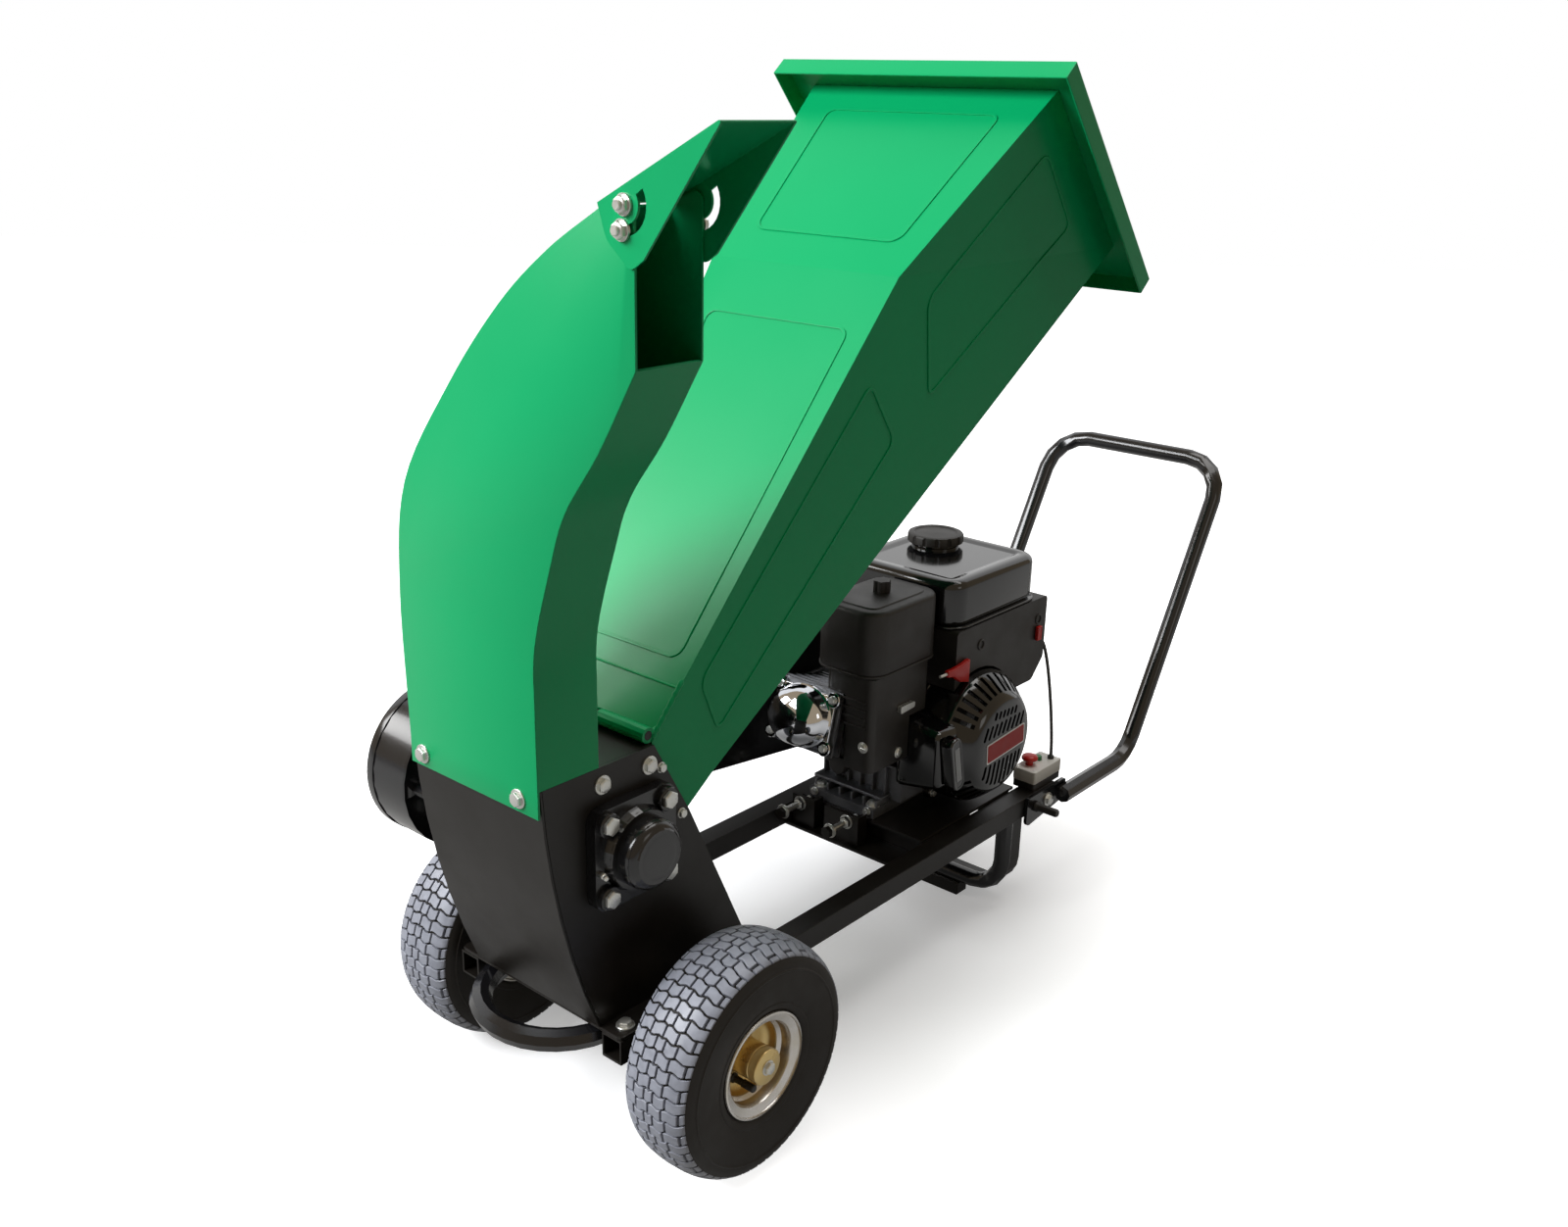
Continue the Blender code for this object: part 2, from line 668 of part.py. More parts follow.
def make_wheel(side, sign):
    """Tyre and rim of one side."""
    half = TYRE_WIDTH / 2
    tread = TREAD_WIDTH / 2
    bead_x = RIM_WIDTH / 2 - BEAD_INSET - SEAT
    bead_radius = BEAD_SEAT_RADIUS + SEAT
    outer = [(bead_radius, bead_x), (RIM_RADIUS + 0.0015, RIM_WIDTH / 2 - RIM_SHEET - SEAT),
             (0.082, half - 0.002), (0.108, half), (0.125, half - 0.005), (TYRE_RADIUS, tread - 0.006)]
    outer = outer + [(radius, -x) for radius, x in reversed(outer)]
    wall = [(bead_radius, bead_x - TYRE_WALL), (TYRE_RADIUS - 2 * TYRE_WALL, half - 2 * TYRE_WALL)]
    wall = [(radius, -x) for radius, x in wall] + [(radius, x) for radius, x in reversed(wall)]
    place = (sign * TRACK / 2, AXLE_Y, AXLE_Z)
    turned("tyre_" + side, outer + wall, "rubber", place, steps=TYRE_STEPS, closed=True)

    edge = RIM_WIDTH / 2
    seat = BEAD_SEAT_RADIUS
    well = seat - 0.005
    hub = HUB_LENGTH / 2
    barrel_out = [(RIM_RADIUS, edge), (RIM_RADIUS, edge - RIM_SHEET), (seat, edge - BEAD_INSET),
                  (well, edge - 0.024)]
    barrel_out += [(radius, -x) for radius, x in reversed(barrel_out)]
    barrel_in = [(seat - RIM_SHEET, -edge), (well - RIM_SHEET, -edge + 0.022)]
    disc_in = [(well - RIM_SHEET, 0.006), (HUB_RADIUS, -0.006)]
    tube = [(HUB_RADIUS, -hub), (AXLE_RADIUS + RUNNING / 2, -hub),
            (AXLE_RADIUS + RUNNING / 2, hub), (HUB_RADIUS, hub)]
    disc_out = [(HUB_RADIUS, -0.006 + RIM_SHEET), (well - RIM_SHEET, 0.006 + RIM_SHEET)]
    lip = [(well - RIM_SHEET, edge - 0.022), (seat - RIM_SHEET, edge)]
    profile = barrel_out + barrel_in + disc_in + tube + disc_out + lip
    turned("rim_" + side, profile, "rim_steel", place, axis="X" if sign > 0 else "-X",
           steps=18, closed=True)


def make_rear_leg():
    """Tube hoop under the rails, a flat strap behind it and the foot bar."""
    x = LEG_SPACING / 2
    top = RAIL_BOTTOM - SEAT
    low = FOOT_HEIGHT + SEAT + LEG_TUBE_RADIUS
    y = -0.004
    path = rounded_path([(x, y, top), (x, y, low), (-x, y, low), (-x, y, top)], LEG_BEND)
    leg = as_mesh(part("rear_leg", pipe(path, LEG_TUBE_RADIUS), "black_powder_coat"))
    leg.data.shade_smooth()

    y0 = y + LEG_TUBE_RADIUS + SEAT
    low = FOOT_HEIGHT + SEAT
    side = [(x, top)] + arc((x - LEG_BEND, low + LEG_BEND), LEG_BEND, 0, -90, 5)
    outside = side + [(-a, b) for a, b in reversed(side)]
    inside = beside(outside, -STRAP_THICKNESS)
    inside[0] = (x - STRAP_THICKNESS, top)
    inside[-1] = (STRAP_THICKNESS - x, top)
    plate_facing("leg_strap", outside + inside[::-1], y0, y0 + STRAP_WIDTH, "black_powder_coat")

    half = FOOT_WIDTH / 2
    bar = boxes(((-half, -FOOT_DEPTH / 2, 0), (half, FOOT_DEPTH / 2, FOOT_HEIGHT)))
    round_edges(part("foot_bar", bar, "black_powder_coat"), 0.002, 1)


# Chipping unit
def front_curve(steps=6):
    """Outer line of the housing's front from the foot up, from the rotor axis."""
    return arc_through((-HOUSING_FRONT_FOOT, HOUSING_FOOT),
                       (-HOUSING_FRONT_MID, -HOUSING_FRONT_MID_DROP),
                       (-HOUSING_FRONT_TOP, HOUSING_TOP), steps)


def rear_point(drop):
    """Point of the housing's rear line at a height below the throat's rear edge."""
    slope = (HOUSING_REAR_FOOT - THROAT_REAR) / (THROAT_REAR_RISE - HOUSING_FOOT)
    return THROAT_REAR + slope * drop, THROAT_REAR_RISE - drop


def make_housing():
    """Two side plates, a curved front, a rear panel and a top plate with hinge lugs."""
    inner_front = foot_at(beside(front_curve(), -(SHEET + SEAT)), HOUSING_FOOT)
    inner_front = foot_at(inner_front[::-1], HOUSING_TOP)[::-1]
    side = inner_front + [(THROAT_FRONT, HOUSING_TOP), (THROAT_REAR, THROAT_REAR_RISE),
                          (HOUSING_REAR_FOOT, HOUSING_FOOT)]
    bore = arc((ROTOR_Y, ROTOR_Z), SHAFT_RADIUS + 0.006, 0, 337.5, 15)
    for name, sign in (("housing_side_right", 1), ("housing_side_left", -1)):
        x0, x1 = sorted((sign * INNER_HALF, sign * HALF))
        plate = as_mesh(plate_across(name, from_rotor(side), x0, x1, "black_powder_coat", [bore]))
        for y, z, radius, height in SIDE_BOLTS:
            bolt(plate, (sign * HALF, ROTOR_Y + y, ROTOR_Z + z), (sign, 0, 0), radius, height)

    outer = front_curve()
    panel = outer + foot_at(foot_at(beside(outer, -SHEET), HOUSING_FOOT)[::-1], HOUSING_TOP)
    plate_across("housing_front", from_rotor(panel), -HALF, HALF, "black_powder_coat")

    reach = INNER_HALF - SEAT
    top_drop = 0.0
    foot_drop = THROAT_REAR_RISE - HOUSING_FOOT
    outer = [rear_point(foot_drop), rear_point(top_drop)]
    inner = foot_at(beside(outer, SHEET), HOUSING_FOOT)
    plate_across("housing_rear", from_rotor(outer + inner[::-1]), -reach, reach, "black_powder_coat")

    low = (-reach, ROTOR_Y + chute_back() - CHUTE_SHEET - 0.002, ROTOR_Z + HOUSING_TOP - SHEET)
    high = (reach, ROTOR_Y + THROAT_FRONT, ROTOR_Z + HOUSING_TOP)
    top = part("housing_top", boxes((low, high)), "black_powder_coat")
    hinge_y, hinge_z = hinge_axis()
    base = ROTOR_Z + HOUSING_TOP - SHEET / 2
    lug = [(high[1], base)] + arc((hinge_y, hinge_z), HINGE_RADIUS - 2 * RUNNING, -50, 180, 9)
    lug += [(hinge_y - HINGE_RADIUS - 0.004, base)]
    for x in (-HINGE_LUG_SPACING / 2, HINGE_LUG_SPACING / 2):
        weld(top, as_mesh(plate_across("lug", lug, x - HINGE_LUG / 2, x + HINGE_LUG / 2,
                                       "black_powder_coat")))
    bm = bmesh.new()
    add_rod(bm, (-HINGE_LENGTH / 2, hinge_y, hinge_z), (HINGE_LENGTH / 2, hinge_y, hinge_z),
            HINGE_PIN_RADIUS)
    weld(top, part("hinge_pin", mesh_of(bm), "zinc"))


def make_anvil():
    """Fixed knife that the rotor shears against, on the rear panel."""
    y0 = ROTOR_Y + KNIFE_RADIUS + ANVIL_GAP
    drop = 0.015
    y1 = ROTOR_Y + rear_point(drop)[0] - SHEET / math.cos(0.45) - SEAT
    z1 = ROTOR_Z + THROAT_REAR_RISE - drop
    reach = INNER_HALF - SEAT
    block = boxes(((-reach, y0, z1 - ANVIL_HEIGHT), (reach, y1, z1)))
    part("anvil_knife", block, "knife_steel")


def make_rotor():
    """Shaft, drum with two pockets and the two knives."""
    cap = HALF + SEAT + BEARING_THICKNESS + BEARING_BOSS_HEIGHT
    end = -(GUARD_OUTER - GUARD_SHEET - 0.012)
    profile = [(0, cap), (SHAFT_RADIUS, cap), (SHAFT_RADIUS, end), (0, end)]
    turned("rotor_shaft", profile, "knife_steel", (0, ROTOR_Y, ROTOR_Z), steps=20)

    floor = KNIFE_RADIUS * math.cos(math.asin(0.66)) - KNIFE_THICKNESS
    lead = math.sqrt(KNIFE_RADIUS ** 2 - (floor + KNIFE_THICKNESS) ** 2)
    edge = math.sqrt(DRUM_RADIUS ** 2 - floor ** 2)
    start_angle = math.degrees(math.atan2(floor, edge))
    wall = lead - KNIFE_WIDTH - SEAT
    top = math.sqrt(DRUM_RADIUS ** 2 - wall ** 2)
    half_turn = arc((0, 0), DRUM_RADIUS, math.degrees(math.atan2(top, wall)), 180 + start_angle, 9)
    half_turn = half_turn + [(-wall, -floor)]
    drum = half_turn + [(-y, -z) for y, z in half_turn]
    bore = arc((ROTOR_Y, ROTOR_Z), SHAFT_RADIUS + SEAT, 0, 345, 23)
    reach = INNER_HALF - ROTOR_SIDE_GAP
    plate_across("rotor_drum", from_rotor(drum), -reach, reach, "cast_aluminium", [bore])

    low, high = floor + SEAT, floor + KNIFE_THICKNESS
    knife = [(wall + SEAT, low), (lead - 0.008, low), (lead, high), (wall + SEAT, high)]
    for name, sign in (("rotor_knife_1", 1), ("rotor_knife_2", -1)):
        plate_across(name, from_rotor([(sign * y, sign * z) for y, z in knife]), -reach, reach,
                     "knife_steel")


def make_bearings():
    """Four-bolt flange bearings on both housing sides, the right one with a closed cap."""
    half = BEARING_SIDE / 2
    face = HALF + SEAT
    boss_top = BEARING_THICKNESS + BEARING_BOSS_HEIGHT
    root = BEARING_THICKNESS - 0.002
    boss = [(BEARING_BOSS_RADIUS, boss_top), (BEARING_BOSS_RADIUS + 0.004, root), (0, root)]
    cap_top = boss_top + BEARING_CAP_HEIGHT
    cap = [(0, cap_top), (BEARING_CAP_RADIUS - 0.008, cap_top), (BEARING_CAP_RADIUS, cap_top - 0.007),
           (BEARING_CAP_RADIUS, boss_top)]
    corners = [(-half, -half), (half, -half), (half, half), (-half, half)]
    square = from_rotor(rounded(corners, [BEARING_CORNER] * 4, 3))
    for side, sign, profile, depth in (("right", 1, cap + boss, boss_top + 0.003),
                                       ("left", -1, [(0, boss_top)] + boss, boss_top + 0.010)):
        x0, x1 = sorted((sign * face, sign * (face + BEARING_THICKNESS)))
        flange = as_mesh(plate_across("bearing_" + side, square, x0, x1, "black_powder_coat"))
        weld(flange, turned("boss_" + side, profile, "black_powder_coat", (sign * face, ROTOR_Y, ROTOR_Z),
                            axis="X" if sign > 0 else "-X"))
        for y, z in bearing_bolt_places():
            bolt(flange, (sign * (face + BEARING_THICKNESS), y, z), (sign, 0, 0), M12_HEAD, M12_HEIGHT)
        bm = bmesh.new()
        add_rod(bm, (sign * (face - 0.01), ROTOR_Y, ROTOR_Z), (sign * (face + depth), ROTOR_Y, ROTOR_Z),
                SHAFT_RADIUS + SEAT, 20)
        cut(flange, part("bore_" + side, mesh_of(bm), "black_powder_coat"))


def bearing_bolt_places():
    """(Y, Z) of the four bolts of a flange bearing."""
    half = BEARING_BOLT_SPACING / 2
    return [(ROTOR_Y + a * half, ROTOR_Z + b * half) for a in (-1, 1) for b in (-1, 1)]


# Discharge chute
def chute_front():
    """Front of the chute, from the rotor axis."""
    return -(HOUSING_FRONT_TOP + SEAT + CHUTE_SHEET)


def chute_back():
    """Back of the chute, from the rotor axis."""
    return chute_front() + CHUTE_DEPTH


def chute_pivot():
    """(X, Z) of the deflector's pivot."""
    end_z = ROTOR_Z + HOUSING_TOP + CHUTE_RISE
    return CHUTE_THROW + PIVOT_FROM_END[0], end_z + PIVOT_FROM_END[1]


def chute_walls():
    """Outer and inner wall lines, from the housing up to the outlet, as (X, Z)."""
    foot = ROTOR_Z + HOUSING_TOP + SEAT
    rise = CHUTE_RISE - SEAT
    outer = [(-HALF, 0), (-HALF - 0.003, 0.29 * rise), (-HALF + 0.017, 0.498 * rise),
             (-HALF + 0.096, 0.691 * rise), (CHUTE_THROW - 0.135, 0.836 * rise),
             (CHUTE_THROW - 0.068, 0.929 * rise), (CHUTE_THROW, rise)]
    inner = [(HALF, 0), (HALF, 0.157 * rise), (HALF + 0.003, 0.271 * rise),
             (HALF + 0.029, 0.423 * rise), (HALF + 0.051, 0.521 * rise),
             (HALF + 0.097, 0.634 * rise), (CHUTE_THROW + PIVOT_FROM_END[0] + CHUTE_EAR, 0.770 * rise)]
    return ([(x, foot + z) for x, z in smooth_through(outer, 2)],
            [(x, foot + z) for x, z in smooth_through(inner, 2)])


def make_chute():
    """Sheet duct that bends from upright to the discharge side."""
    outer, inner = chute_walls()
    pivot = chute_pivot()
    y0, y1 = ROTOR_Y + chute_front(), ROTOR_Y + chute_back()
    outline = outer + arc(pivot, CHUTE_EAR, 110, 0, 5) + inner[::-1]
    duct = as_mesh(plate_facing("chute", outline, y0, y1, "green_enamel"))

    roof = beside(outer, -CHUTE_SHEET)
    floor = beside(inner, CHUTE_SHEET)
    below, beyond = outer[0][1] - 0.02, pivot[0] + 0.06
    above = pivot[1] + 0.05
    passage = [(roof[0][0], below)] + roof + [(outer[-1][0], above), (beyond, above)]
    passage += [(beyond, floor[-1][1])] + floor[::-1] + [(floor[0][0], below)]
    cut(duct, as_mesh(plate_facing("passage", passage, y0 + CHUTE_SHEET, y1 - CHUTE_SHEET,
                                   "green_enamel")))
    lap = boxes(((-HALF, y0, outer[0][1] - CHUTE_LAP), (HALF, y0 + CHUTE_SHEET, outer[0][1] + 0.004)))
    weld(duct, part("lap", lap, "green_enamel"))
    grip = FLAP_SIDE_GAP + CHUTE_SHEET + SEAT
    for x, z in (pivot, clamp_place()):
        bolt(duct, (x, y0, z), (0, -1, 0), M8_HEAD, M8_HEIGHT, DEFLECTOR_BOLT, grip)
        bolt(duct, (x, y1, z), (0, 1, 0), M8_HEAD, M8_HEIGHT, DEFLECTOR_BOLT, grip)
    for x in (-0.081, 0.073):
        bolt(duct, (x, y0, ROTOR_Z + HOUSING_TOP - CHUTE_LAP / 2), (0, -1, 0), M8_HEAD, M8_HEIGHT)


def clamp_place():
    """(X, Z) of the deflector's clamp bolt, under its pivot."""
    pivot = chute_pivot()
    angle = math.radians(-98)
    return pivot[0] + CLAMP_RADIUS * math.cos(angle), pivot[1] + CLAMP_RADIUS * math.sin(angle)


def make_deflector():
    """Three-sided flap outside the chute, with its curved clamp slots."""
    pivot = chute_pivot()
    along = Vector((math.cos(FLAP_SLOPE), math.sin(FLAP_SLOPE)))
    heel = Vector((CHUTE_THROW, ROTOR_Z + HOUSING_TOP + CHUTE_RISE + FLAP_LIFT))
    tip = heel + along * FLAP_REACH
    corners = [tuple(heel), (pivot[0] - 0.022, pivot[1] - 0.029), (pivot[0] + 0.006, pivot[1] - 0.052),
               (pivot[0] + 0.021, pivot[1] - 0.042), tuple(tip)]
    outline = rounded(corners, [0, 0.020, 0.008, 0.006, 0.0015], 3)
    y0 = ROTOR_Y + chute_front() - FLAP_SIDE_GAP - CHUTE_SHEET
    y1 = ROTOR_Y + chute_back() + FLAP_SIDE_GAP + CHUTE_SHEET
    flap = as_mesh(plate_facing("deflector", outline, y0, y1, "green_enamel"))
    across = Vector((-along.y, along.x))
    low = across * CHUTE_SHEET
    hollow = [tuple(heel - along * 0.1 - low), tuple(heel - along * 0.1 - across * 0.3),
              tuple(tip + along * 0.1 - across * 0.3), tuple(tip + along * 0.1 - low)]
    cut(flap, as_mesh(plate_facing("channel", hollow, y0 + CHUTE_SHEET, y1 - CHUTE_SHEET,
                                   "green_enamel")))
    half = DEFLECTOR_BOLT + FLAP_SIDE_GAP
    slot = arc(pivot, CLAMP_RADIUS - half, 33, -98, 10)
    end = clamp_place()
    slot += arc(end, half, 82, 262, 4)[1:-1] + arc(pivot, CLAMP_RADIUS + half, -98, 33, 10)
    cut(flap, as_mesh(plate_facing("slot", slot, y0 - 0.01, y1 + 0.01, "green_enamel")))
    hole = arc(pivot, DEFLECTOR_BOLT + FLAP_SIDE_GAP, 0, 330, 11)
    cut(flap, as_mesh(plate_facing("pivot_hole", hole, y0 - 0.01, y1 + 0.01, "green_enamel")))


# Hopper
def hinge_axis():
    """(Y, Z) of the hopper's hinge, in front of the throat plate."""
    foot = Vector(hopper_lines()[0][0])
    along = Vector((math.cos(LIP_SLOPE), math.sin(LIP_SLOPE)))
    front = Vector((-along.y, along.x))
    return tuple(foot + along * 0.0035 + front * (HINGE_RADIUS - 0.0008))


def hopper_lines():
    """Front and rear lines of the hopper in (Y, Z), each from throat to mouth."""
    foot = Vector((ROTOR_Y + THROAT_FRONT + 0.002, ROTOR_Z + HOUSING_TOP + 0.002))
    neck = foot + LIP_LENGTH * Vector((math.cos(LIP_SLOPE), math.sin(LIP_SLOPE)))
    bend = neck + LOWER_LENGTH * Vector((math.cos(LOWER_SLOPE), math.sin(LOWER_SLOPE)))
    mouth = bend + UPPER_LENGTH * Vector((math.cos(UPPER_SLOPE), math.sin(UPPER_SLOPE)))
    down = Vector((math.sin(MOUTH_TILT), -math.cos(MOUTH_TILT)))
    rear_foot = Vector((ROTOR_Y + THROAT_REAR + 0.0015, ROTOR_Z + THROAT_REAR_RISE + 0.002))
    neck_down = Vector((math.cos(math.radians(-66)), math.sin(math.radians(-66))))
    bend_down = Vector((math.cos(math.radians(-73.5)), math.sin(math.radians(-73.5))))
    return ([foot, neck, bend, mouth],
            [rear_foot, neck + NECK_DEPTH * neck_down, bend + BEND_DEPTH * bend_down,
             mouth + MOUTH_DEPTH * down])


def make_hopper():
    """Lofted sheet funnel with a bend, side tongues and its hinge barrel."""
    front, rear = hopper_lines()
    start_half = INNER_HALF - HOPPER_SIDE_GAP
    halves = [start_half, start_half + 0.004, BEND_HALF_WIDTH, MOUTH_HALF_WIDTH]
    bm = bmesh.new()
    rings = []
    for (fy, fz), (ry, rz), half in zip(front, rear, halves):
        ring = [bm.verts.new(q) for q in ((-half, fy, fz), (half, fy, fz), (half, ry, rz), (-half, ry, rz))]
        rings.append([bm.edges.new((ring[i], ring[(i + 1) % 4])) for i in range(4)])
    for low, high in zip(rings, rings[1:]):
        bmesh.ops.bridge_loops(bm, edges=low + high)
    hopper = part("hopper", mesh_of(bm), "green_enamel")
    wall = hopper.modifiers.new("sheet", "SOLIDIFY")
    wall.thickness = HOPPER_SHEET
    wall.offset = -1
    wall.use_even_offset = True

    foot, rear_foot = front[0], rear[0]
    tongue = [(foot[0], foot[1] + TONGUE_RISE), (foot[0], foot[1] - TONGUE_DEPTH),
              (foot[0] + 0.028, rear_foot[1] + 0.002), (rear_foot[0] - 0.001, rear_foot[1] + 0.002),
              (rear_foot[0] + 0.004, rear_foot[1] + 0.010)]
    for x0 in (-start_half, start_half - HOPPER_SHEET):
        piece = as_mesh(plate_across("tongue", tongue, x0 + 0.0001, x0 + HOPPER_SHEET - 0.0001,
                                     "green_enamel"))
        weld(hopper, piece)
    hinge_y, hinge_z = hinge_axis()
    ring = arc((hinge_y, hinge_z), HINGE_RADIUS, 0, 330, 11)
    hole = arc((hinge_y, hinge_z), HINGE_PIN_RADIUS + RUNNING / 2, 0, 324, 9)
    gap = HINGE_LUG / 2 + RUNNING / 2
    inner, outer = HINGE_LUG_SPACING / 2, HINGE_LENGTH / 2
    for x0, x1 in ((-outer, -inner - gap), (-inner + gap, inner - gap), (inner + gap, outer)):
        barrel = as_mesh(plate_across("barrel", ring, x0, x1, "green_enamel", [hole]))
        weld(hopper, barrel)


def make_hopper_rim():
    """Folded picture frame round the hopper's mouth."""
    front, rear = hopper_lines()
    mouth, low = front[-1], rear[-1]
    down = (low - mouth).normalized()
    out = Vector((-down.y, down.x))
    bm = bmesh.new()
    half = RIM_OUT_WIDTH / 2
    top, bottom = -RIM_TOP_OVERHANG, RIM_OUT_DEPTH - RIM_TOP_OVERHANG
    sheet = HOPPER_SHEET
    add_box(bm, (-half, top, -RIM_FOLD), (half, bottom, 0))
    frame = part("hopper_rim", mesh_of(bm), "green_enamel")
    tray = boxes(((-half + sheet, top + sheet, -RIM_FOLD - 0.01), (half - sheet, bottom - sheet, -sheet)))
    hole_half = MOUTH_HALF_WIDTH - sheet
    hole = boxes(((-hole_half, sheet, -0.05), (hole_half, MOUTH_DEPTH - sheet, 0.02)))
    seat = mouth + out * (sheet + RIM_SEAT)
    turn = Matrix(((1, 0, 0, 0), (0, down.x, out.x, seat.x), (0, down.y, out.y, seat.y), (0, 0, 0, 1)))
    for piece in (frame, part("tray", tray, "green_enamel"), part("mouth", hole, "green_enamel")):
        piece.matrix_world = turn
    cut(frame, bpy.data.objects["tray"])
    cut(frame, bpy.data.objects["mouth"])


# Belt drive
def two_circles(radius_front, radius_rear, steps):
    """Line round the rotor axis and the crankshaft axis, with tangent runs."""
    dy, dz = CRANK_Y - ROTOR_Y, CRANK_Z - ROTOR_Z
    distance = math.hypot(dy, dz)
    heading = math.degrees(math.atan2(dz, dy))
    lean = math.degrees(math.acos((radius_front - radius_rear) / distance))
    points = arc((ROTOR_Y, ROTOR_Z), radius_front, heading + lean, heading + 360 - lean, steps)
    points += arc((CRANK_Y, CRANK_Z), radius_rear, heading - lean, heading + lean, steps // 2 + 1)
    return points


def pulley_profile(radius, bore, hub_radius):
    """Half width profile of a V pulley, top to bottom."""
    half = PULLEY_WIDTH / 2
    slope = BELT_TAPER / BELT_HEIGHT
    groove = BELT_WIDTH / 2 + slope * BELT_SINK + 2 * SEAT
    narrow = groove - slope * GROOVE_FLOOR
    floor = radius - GROOVE_FLOOR
    return [(bore, half), (hub_radius, half), (hub_radius, half - 0.005), (floor - 0.008, half - 0.005),
            (floor - 0.008, half), (radius, half), (radius, groove), (floor, narrow),
            (floor, -narrow), (radius, -groove), (radius, -half), (bore, -half)]


def make_belt_drive():
    """Two V pulleys with the belt, a back plate and the guard."""
    bore = SHAFT_RADIUS + SEAT
    turned("driven_pulley", pulley_profile(DRIVEN_RADIUS, bore, 0.028), "cast_aluminium",
           (BELT_X, ROTOR_Y, ROTOR_Z), steps=22, closed=True)
    bore = CRANK_RADIUS + SEAT
    turned("drive_pulley", pulley_profile(DRIVE_RADIUS, bore, 0.020), "cast_aluminium",
           (BELT_X, CRANK_Y, CRANK_Z), steps=18, closed=True)

    bm = bmesh.new()
    loops = []
    for drop, half in ((BELT_SINK, BELT_WIDTH / 2),
                       (BELT_SINK + BELT_HEIGHT, BELT_WIDTH / 2 - BELT_TAPER)):
        line = two_circles(DRIVEN_RADIUS - drop, DRIVE_RADIUS - drop, 18)
        for x in ((half, -half) if not loops else (-half, half)):
            ring = [bm.verts.new((BELT_X + x, y, z)) for y, z in line]
            loops.append([bm.edges.new(pair) for pair in zip(ring, ring[1:] + ring[:1])])
    for a, b in zip(loops, loops[1:] + loops[:1]):
        bmesh.ops.bridge_loops(bm, edges=a + b)
    part("v_belt", mesh_of(bm), "rubber")

    inner_face = -(GUARD_OUTER - GUARD_DEPTH)
    outline = two_circles(GUARD_FRONT_RADIUS, GUARD_REAR_RADIUS, 14)
    cover = as_mesh(plate_across("guard_cover", outline, -GUARD_OUTER, inner_face, "black_powder_coat"))
    hollow = two_circles(GUARD_FRONT_RADIUS - GUARD_SHEET, GUARD_REAR_RADIUS - GUARD_SHEET, 14)
    cut(cover, as_mesh(plate_across("guard_inside", hollow, -GUARD_OUTER + GUARD_SHEET,
                                    inner_face + 0.01, "black_powder_coat")))
    front_hole = arc((ROTOR_Y, ROTOR_Z), SHAFT_RADIUS + 0.004, 0, 337.5, 15)
    rear_hole = arc((CRANK_Y, CRANK_Z), CRANK_RADIUS + 0.004, 0, 337.5, 15)
    plate_x = inner_face + SEAT + GUARD_SHEET
    back = as_mesh(plate_across("guard_back", outline, inner_face + SEAT, plate_x,
                                "black_powder_coat", [front_hole, rear_hole]))
    bm = bmesh.new()
    for y, z in ((0, 1), (-1, 0), (0, -1)):
        y, z = ROTOR_Y + y * STANDOFF_CIRCLE, ROTOR_Z + z * STANDOFF_CIRCLE
        add_rod(bm, (plate_x - RUNNING, y, z), (-HALF - SEAT, y, z), STANDOFF_RADIUS)
    weld(back, part("standoffs", mesh_of(bm), "black_powder_coat"))


# Engine
def make_engine_mount():
    """Plate under the rails with the belt adjusters, and the cradle that the engine stands on."""
    z1 = RAIL_BOTTOM - SEAT
    y0 = AXLE_Y + ENGINE_PLATE_FRONT
    y1 = y0 + ENGINE_PLATE_LENGTH
    half = RAIL_OUTER - ENGINE_PLATE_EDGE
    outline = rounded([(-half, y0), (half, y0), (half, y1), (-half, y1)], [0.008] * 4, 2)
    plate = as_mesh(part("engine_plate", flat(outline, PLATE), "black_powder_coat", (0, 0, z1 - PLATE / 2)))
    tab, top, sunk = y0 + TAB_SETBACK, z1 + TAB_HEIGHT, z1 - RUNNING
    behind = tab + TAB_THICKNESS
    for x0, x1 in ADJUSTER_TABS:
        weld(plate, part("tab", boxes(((x0, tab, sunk), (x1, behind, top))), "black_powder_coat"))
        gusset = boxes(((x1 - TAB_THICKNESS, behind - SEAT, sunk), (x1, behind + GUSSET_LENGTH, top)))
        weld(plate, part("gusset", gusset, "black_powder_coat"))
    reach = RAIL_INNER - SEAT
    slide_front = CRANK_Y - BASE_FRONT - SLIDE_AHEAD
    z = RAIL_TOP + SEAT + PLATE / 2
    shanks, ends = bmesh.new(), bmesh.new()
    for x in ADJUSTER_BOLTS:
        add_rod(shanks, (x, tab - ADJUSTER_OUT, z), (x, slide_front - SEAT, z), ADJUSTER_RADIUS, 10)
        for end in (tab - ADJUSTER_OUT + 2 * RUNNING, tab + RUNNING):
            add_rod(ends, (x, end - ADJUSTER_HEAD_HEIGHT, z), (x, end, z), ADJUSTER_HEAD, 6)
    weld(plate, part("adjuster_bolts", mesh_of(shanks), "zinc"))
    weld(plate, part("heads_and_nuts", mesh_of(ends), "zinc"))

    top = RAIL_TOP + SEAT
    cradle = part("engine_cradle", boxes(((-reach, slide_front, top), (reach, CRANK_Y + BASE_REAR, top + PLATE))),
                  "black_powder_coat")
    bars = [((-reach, CRANK_Y + a, RAIL_BOTTOM), (reach, CRANK_Y + a + RAIL_SIDE, top + RUNNING))
            for a in BEARERS_BEHIND]
    weld(cradle, part("bearers", boxes(*bars), "black_powder_coat"))


